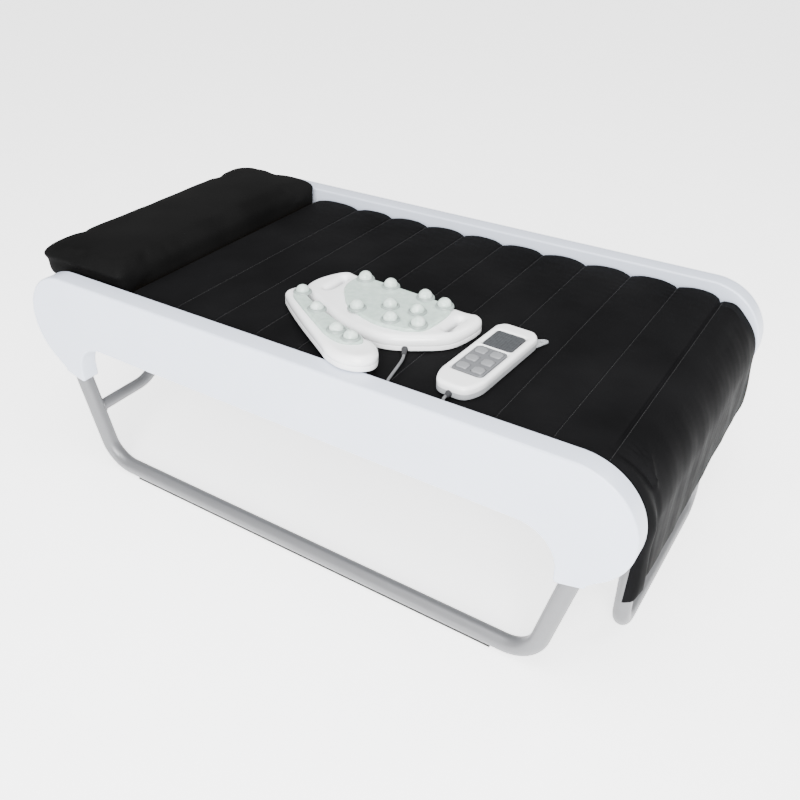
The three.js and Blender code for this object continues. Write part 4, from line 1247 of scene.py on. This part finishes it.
def projector(unit, spots, balls, pad, heights, slots=(), tilt=None):
    """A hand-held projector: two glossy shell halves, a pale pad and jade balls in collars."""
    outline = in_metres(flowing(spots))
    holes = [in_metres(slot) for slot in slots]
    low, split, top = (heights[k] * MM for k in ("low", "split", "top"))
    rim = 0.0006
    pad_top = top + 0.0042
    white = MATERIALS["unit_white"]
    shell = plate_part(outline, split, top, 0.011, holes, rim, 0.002)
    base = plate_part(outline, low, split - 0.0004, rim, holes, 0.004)
    pad_shape = plate_part(in_metres(rounded(pad, 22)), top - 0.002, pad_top, 0.004, step=0.008)
    ball_shapes, rings = zip(*[ball_part(x, y, heights["ball"], pad_top / MM) for x, y in balls])
    pieces = [
        ("shell_moulding", shell, white, 45, "unit_white", [f"{unit}_shell"]),
        ("base_moulding", base, white, 45, "unit_white", [f"{unit}_base"]),
        ("pad", pad_shape, PAD_GEL, 45, "jade", []),
        ("jade_balls", merged(ball_shapes), BALL_JADE, None, "jade", [f"{unit}_balls"]),
        ("ball_collars", merged(rings), COLLAR, 50, "jade", []),
    ]
    for name, shape, material, crease, slot, nodes in pieces:
        add_piece(f"{unit}_{name}", shape, material, unit, slot, *nodes, crease=crease, place=tilt)


MULTI_SLOTS = [oblong((-53.5, -99), 31, 5.5, 0.0, 3.0), oblong((209, -122), 26, 5.5, 0.0, -2.0)]
projector("multi_projector", MULTI_SPOTS, MULTI_BALLS, MULTI_PAD, MULTI, MULTI_SLOTS)


# ---------- hand projector ----------
HAND = {"low": 0.6, "split": 12.0, "top": 30.0, "ball": 35.0}
HAND_PLACE = Matrix.Translation(mm(0, -140, 430)) @ Matrix.Rotation(math.radians(-4.7), 4, "X")
HAND_SPOTS = [
    (-104, -10), (-84, -18), (-42, -46), (40, -90), (104, -112), (140, -120), (162, -142), (166, -164),
    (151, -183), (122, -190), (89, -181), (58, -161), (-30, -102), (-92, -56), (-111, -36),
]
HAND_BALLS = [(-70, -39), (-4, -84), (72, -132), (108, -142)]
HAND_PAD = [
    (-90, -24), (-74, -33), (-36, -57), (14, -84), (84, -113), (120, -123), (132, -142), (104, -164),
    (66, -154), (-20, -99), (-82, -55),
]


projector("hand_projector", HAND_SPOTS, HAND_BALLS, HAND_PAD, HAND, tilt=HAND_PLACE)


# ---------- handset ----------
HANDSET = {"half": 40, "long": 111, "base": 11, "top": 24}
HANDSET_PLACE = Matrix.Translation(mm(300, -174, 430.4)) @ Matrix.Rotation(math.radians(-3), 4, "Z")
DISPLAY = {"half": 27, "y0": 28, "y1": 82}
KEYPAD = {"half": 28, "y0": -66, "y1": 20}
KEY = {"half_x": 10, "half_y": 9, "proud": 1.2, "columns": (-14, 14), "rows": (6, -22, -50)}


def panel_shape(x0, x1, y0, y1, radius):
    """A rectangle with round corners, from millimetres to metres."""
    return in_metres(rounded([(x0, y0), (x1, y0), (x1, y1), (x0, y1)], radius))


def key_shape(x, y, gap=0.0):
    """A key's outline round its middle, or its well's when there is a gap."""
    wide, high = KEY["half_x"] + gap, KEY["half_y"] + gap
    return panel_shape(x - wide, x + wide, y - high, y + high, 4)


def make_handset():
    half, long = HANDSET["half"], HANDSET["long"]
    outline = in_metres(rounded([
        (-half, long - 14), (-half + 12, long), (half - 12, long), (half, long - 14),
        (half, -long + 30), (half - 14, -long), (-half + 14, -long), (-half, -long + 30),
    ], 18))
    top, base = HANDSET["top"] * MM, HANDSET["base"] * MM
    window = panel_shape(-DISPLAY["half"], DISPLAY["half"], DISPLAY["y0"], DISPLAY["y1"], 4)
    keypad = panel_shape(-KEYPAD["half"], KEYPAD["half"], KEYPAD["y0"], KEYPAD["y1"], 7)
    spots = [(x, y) for y in KEY["rows"] for x in KEY["columns"]]
    wells = [key_shape(x, y, 0.4) for x, y in spots]
    end = np.array((0, (long - 1) * MM))
    hook = in_metres(rounded([(14, -6), (36, -24), (49, 12), (42, 17)], 4)) + end
    eye = in_metres(arc_points((39, 4), 2.6, 0, 2 * math.pi * 23 / 24, 24)) + end
    white, grey, glass = (MATERIALS[slot] for slot in ("unit_white", "unit_grey", "display"))
    inset = base + 0.003
    pieces = [
        ("cover_moulding", plate_part(outline, base + 0.0003, top, 0.006, [window, keypad], 0.0005),
         white, "unit_white", "handset", ["handset_cover"]),
        ("keypad_frame", plate_part(keypad * 0.992, inset, top - 0.0007, 0.0008, wells, 0.0004),
         KEYPAD_GREY, "unit_grey", "handset", []),
        ("window", plate_part(window * 0.992, inset, top - 0.0009, 0.001, (), 0.0004),
         glass, "display", "handset", ["display_window"]),
        ("back_moulding", plate_part(outline, 0, base, 0.0006, (), 0.004),
         grey, "unit_grey", "handset", []),
        ("hook_tab", plate_part(hook, 0.003, 0.007, 0.001, [eye], 0.001, step=0.003),
         grey, "unit_grey", "handset", ["handset_base"]),
    ]
    for i, (x, y) in enumerate(spots):
        high = top + KEY["proud"] * MM
        shape = plate_part(key_shape(x, y), top - 0.0048, high, 0.0016, (), 0.0004, 0.0005, 0.003)
        pieces.append((f"key_cap_{i + 1}", shape, KEY_FACE, "unit_grey", f"key_{i + 1}",
                       [f"handset_key_{i + 1}"]))
    for name, shape, material, slot, body, nodes in pieces:
        add_piece(f"handset_{name}", shape, material, body, slot, *nodes,
                  crease=45, place=HANDSET_PLACE)


make_handset()


# ---------- jade rollers ----------
ROLLER = {"r": 20.0, "half": 15.0, "bore": 4.3, "z": 383.0, "spread": 48.0, "y": 40.0, "x": -280.0}


def make_roller(end, place, name, side):
    """A turned jade roller: a crowned tyre with a waist and chamfered bore."""
    half = ROLLER["half"]
    profile = [(ROLLER["bore"], -half + 1), (ROLLER["bore"] + 1, -half)]
    for a in np.linspace(-math.pi / 2, math.pi / 2, 21):
        waist = 1.1 * bell(half * math.sin(a), 2.2)
        profile.append((ROLLER["r"] - 8 + 8 * math.cos(a) - waist, half * math.sin(a)))
    profile += [(ROLLER["bore"] + 1, half), (ROLLER["bore"], half - 1)]
    centre = mm(ROLLER["x"] + place * ROLLER["spread"], side * ROLLER["y"], ROLLER["z"])
    add_piece(f"roller_{end}_{name}", turned(profile, centre, (0, 1, 0), 56), MATERIALS["jade"],
              f"{end}_rollers", "jade", f"jade_roller_{end}_{name}", crease=50)


for roller_end, roller_place in (("front", -1), ("rear", 1)):
    for roller_side, roller_name in SIDES:
        make_roller(roller_end, roller_place, roller_name, roller_side)


# ---------- boards ----------
def make_board(name, node, body, holes=()):
    """A plywood board with eased edges."""
    low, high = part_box(node)
    outline = panel_shape(low.x / MM, high.x / MM, low.y / MM, high.y / MM, 12)
    shape = plate_part(outline, low.z, high.z, 0.0015, holes, 0.0015, step=0.05)
    add_piece(name, shape, MATERIALS["plywood"], body, "plywood", node, crease=50)


deck_slot = panel_shape(WELL["head"], WELL["foot"], -WELL["half"], WELL["half"], 8)
make_board("deck_panel", "deck_board", "bed", [deck_slot])
make_board("extension_panel", "extension_board", "extension")


# ---------- power inlet and switch ----------
def make_inlet_pins():
    low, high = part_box("power_inlet")
    middle = (low + high) / 2
    parts = []
    for y, z in ((-0.007, 0.002), (0, -0.003), (0.007, 0.002)):
        centre = Vector((low.x + 0.012, middle.y + y, middle.z + z))
        parts.append(box_part(centre - Vector(mm(7, 1, 2)), centre + Vector(mm(8, 1, 2)), 0.0004))
    settle(make_piece("inlet_pins", *merged(parts), PIN_METAL, smooth=False), "bed", "bright_steel")


make_inlet_pins()


def make_pan_screws():
    """Pan-head screws that hold the base pan's head wall and its underside to the rails."""
    low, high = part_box("bottom_pan")
    spots = [((low.x, y, high.z - 0.009), (-1, 0, 0)) for y in (-0.27, -0.13, 0.13, 0.27)]
    spots += [((x, y, low.z), (0, 0, -1)) for x in (-0.5, -0.25, 0, 0.25, 0.46) for y in (-0.3, 0.3)]
    head = [(0.01, 0.1), (1.1, 0.1), (1.3, 1.6), (3.0, 1.3), (3.8, 0.3), (3.9, -0.2), (0.01, -0.2)]
    parts = [turned(head, spot, axis, 24) for spot, axis in spots]
    add_piece("pan_screws", merged(parts), MATERIALS["bright_steel"], "bed", "bright_steel", crease=40)


make_pan_screws()


# ---------- materials of the CAD nodes that are shown ----------
for part in frame["record"]["subparts"]:
    node = frame["nodes"][part["node"]]
    material = MATERIALS[part["material_slot"]]
    if node.material_slots:
        node.material_slots[0].material = material
    else:
        node.data.materials.append(material)


# ---------- stage and light ----------
FLOOR_HALF = 12
FLOOR_GLOW = 2.3
SKY_STRENGTH = 0.75


def make_stage():
    white = moulded("floor", (0.95, 0.95, 0.95), 0.9, 60)
    shader = white.node_tree.nodes["Principled BSDF"]
    shader.inputs["Emission Color"].default_value = (1, 1, 1, 1)
    shader.inputs["Emission Strength"].default_value = FLOOR_GLOW
    corners = [(x * FLOOR_HALF, y * FLOOR_HALF, 0) for x, y in ((-1, -1), (1, -1), (1, 1), (-1, 1))]
    floor = make_piece("floor", corners, [(0, 1, 2, 3)], white, smooth=False)


def area_light(name, place, target, size, power):
    data = bpy.data.lights.new(name, "AREA")
    data.shape = "DISK"
    data.size = size
    data.energy = power
    light = bpy.data.objects.new(name, data)
    bpy.context.scene.collection.objects.link(light)
    light.location = place
    light.rotation_mode = "QUATERNION"
    light.rotation_quaternion = (Vector(target) - Vector(place)).to_track_quat("-Z", "Y")


def make_light():
    world = bpy.data.worlds.new("studio")
    world.use_nodes = True
    sky = world.node_tree.nodes["Background"]
    sky.inputs["Color"].default_value = (1, 1, 1, 1)
    sky.inputs["Strength"].default_value = SKY_STRENGTH
    bpy.context.scene.world = world
    middle = (0, 0, 0.35)
    area_light("key", (1.5, -2.9, 1.9), middle, 2.4, 300)
    area_light("top", (0.3, -0.9, 3.0), middle, 2.4, 110)
    area_light("foot", (1.9, 1.6, 2.6), middle, 0.9, 22)


make_stage()
make_light()
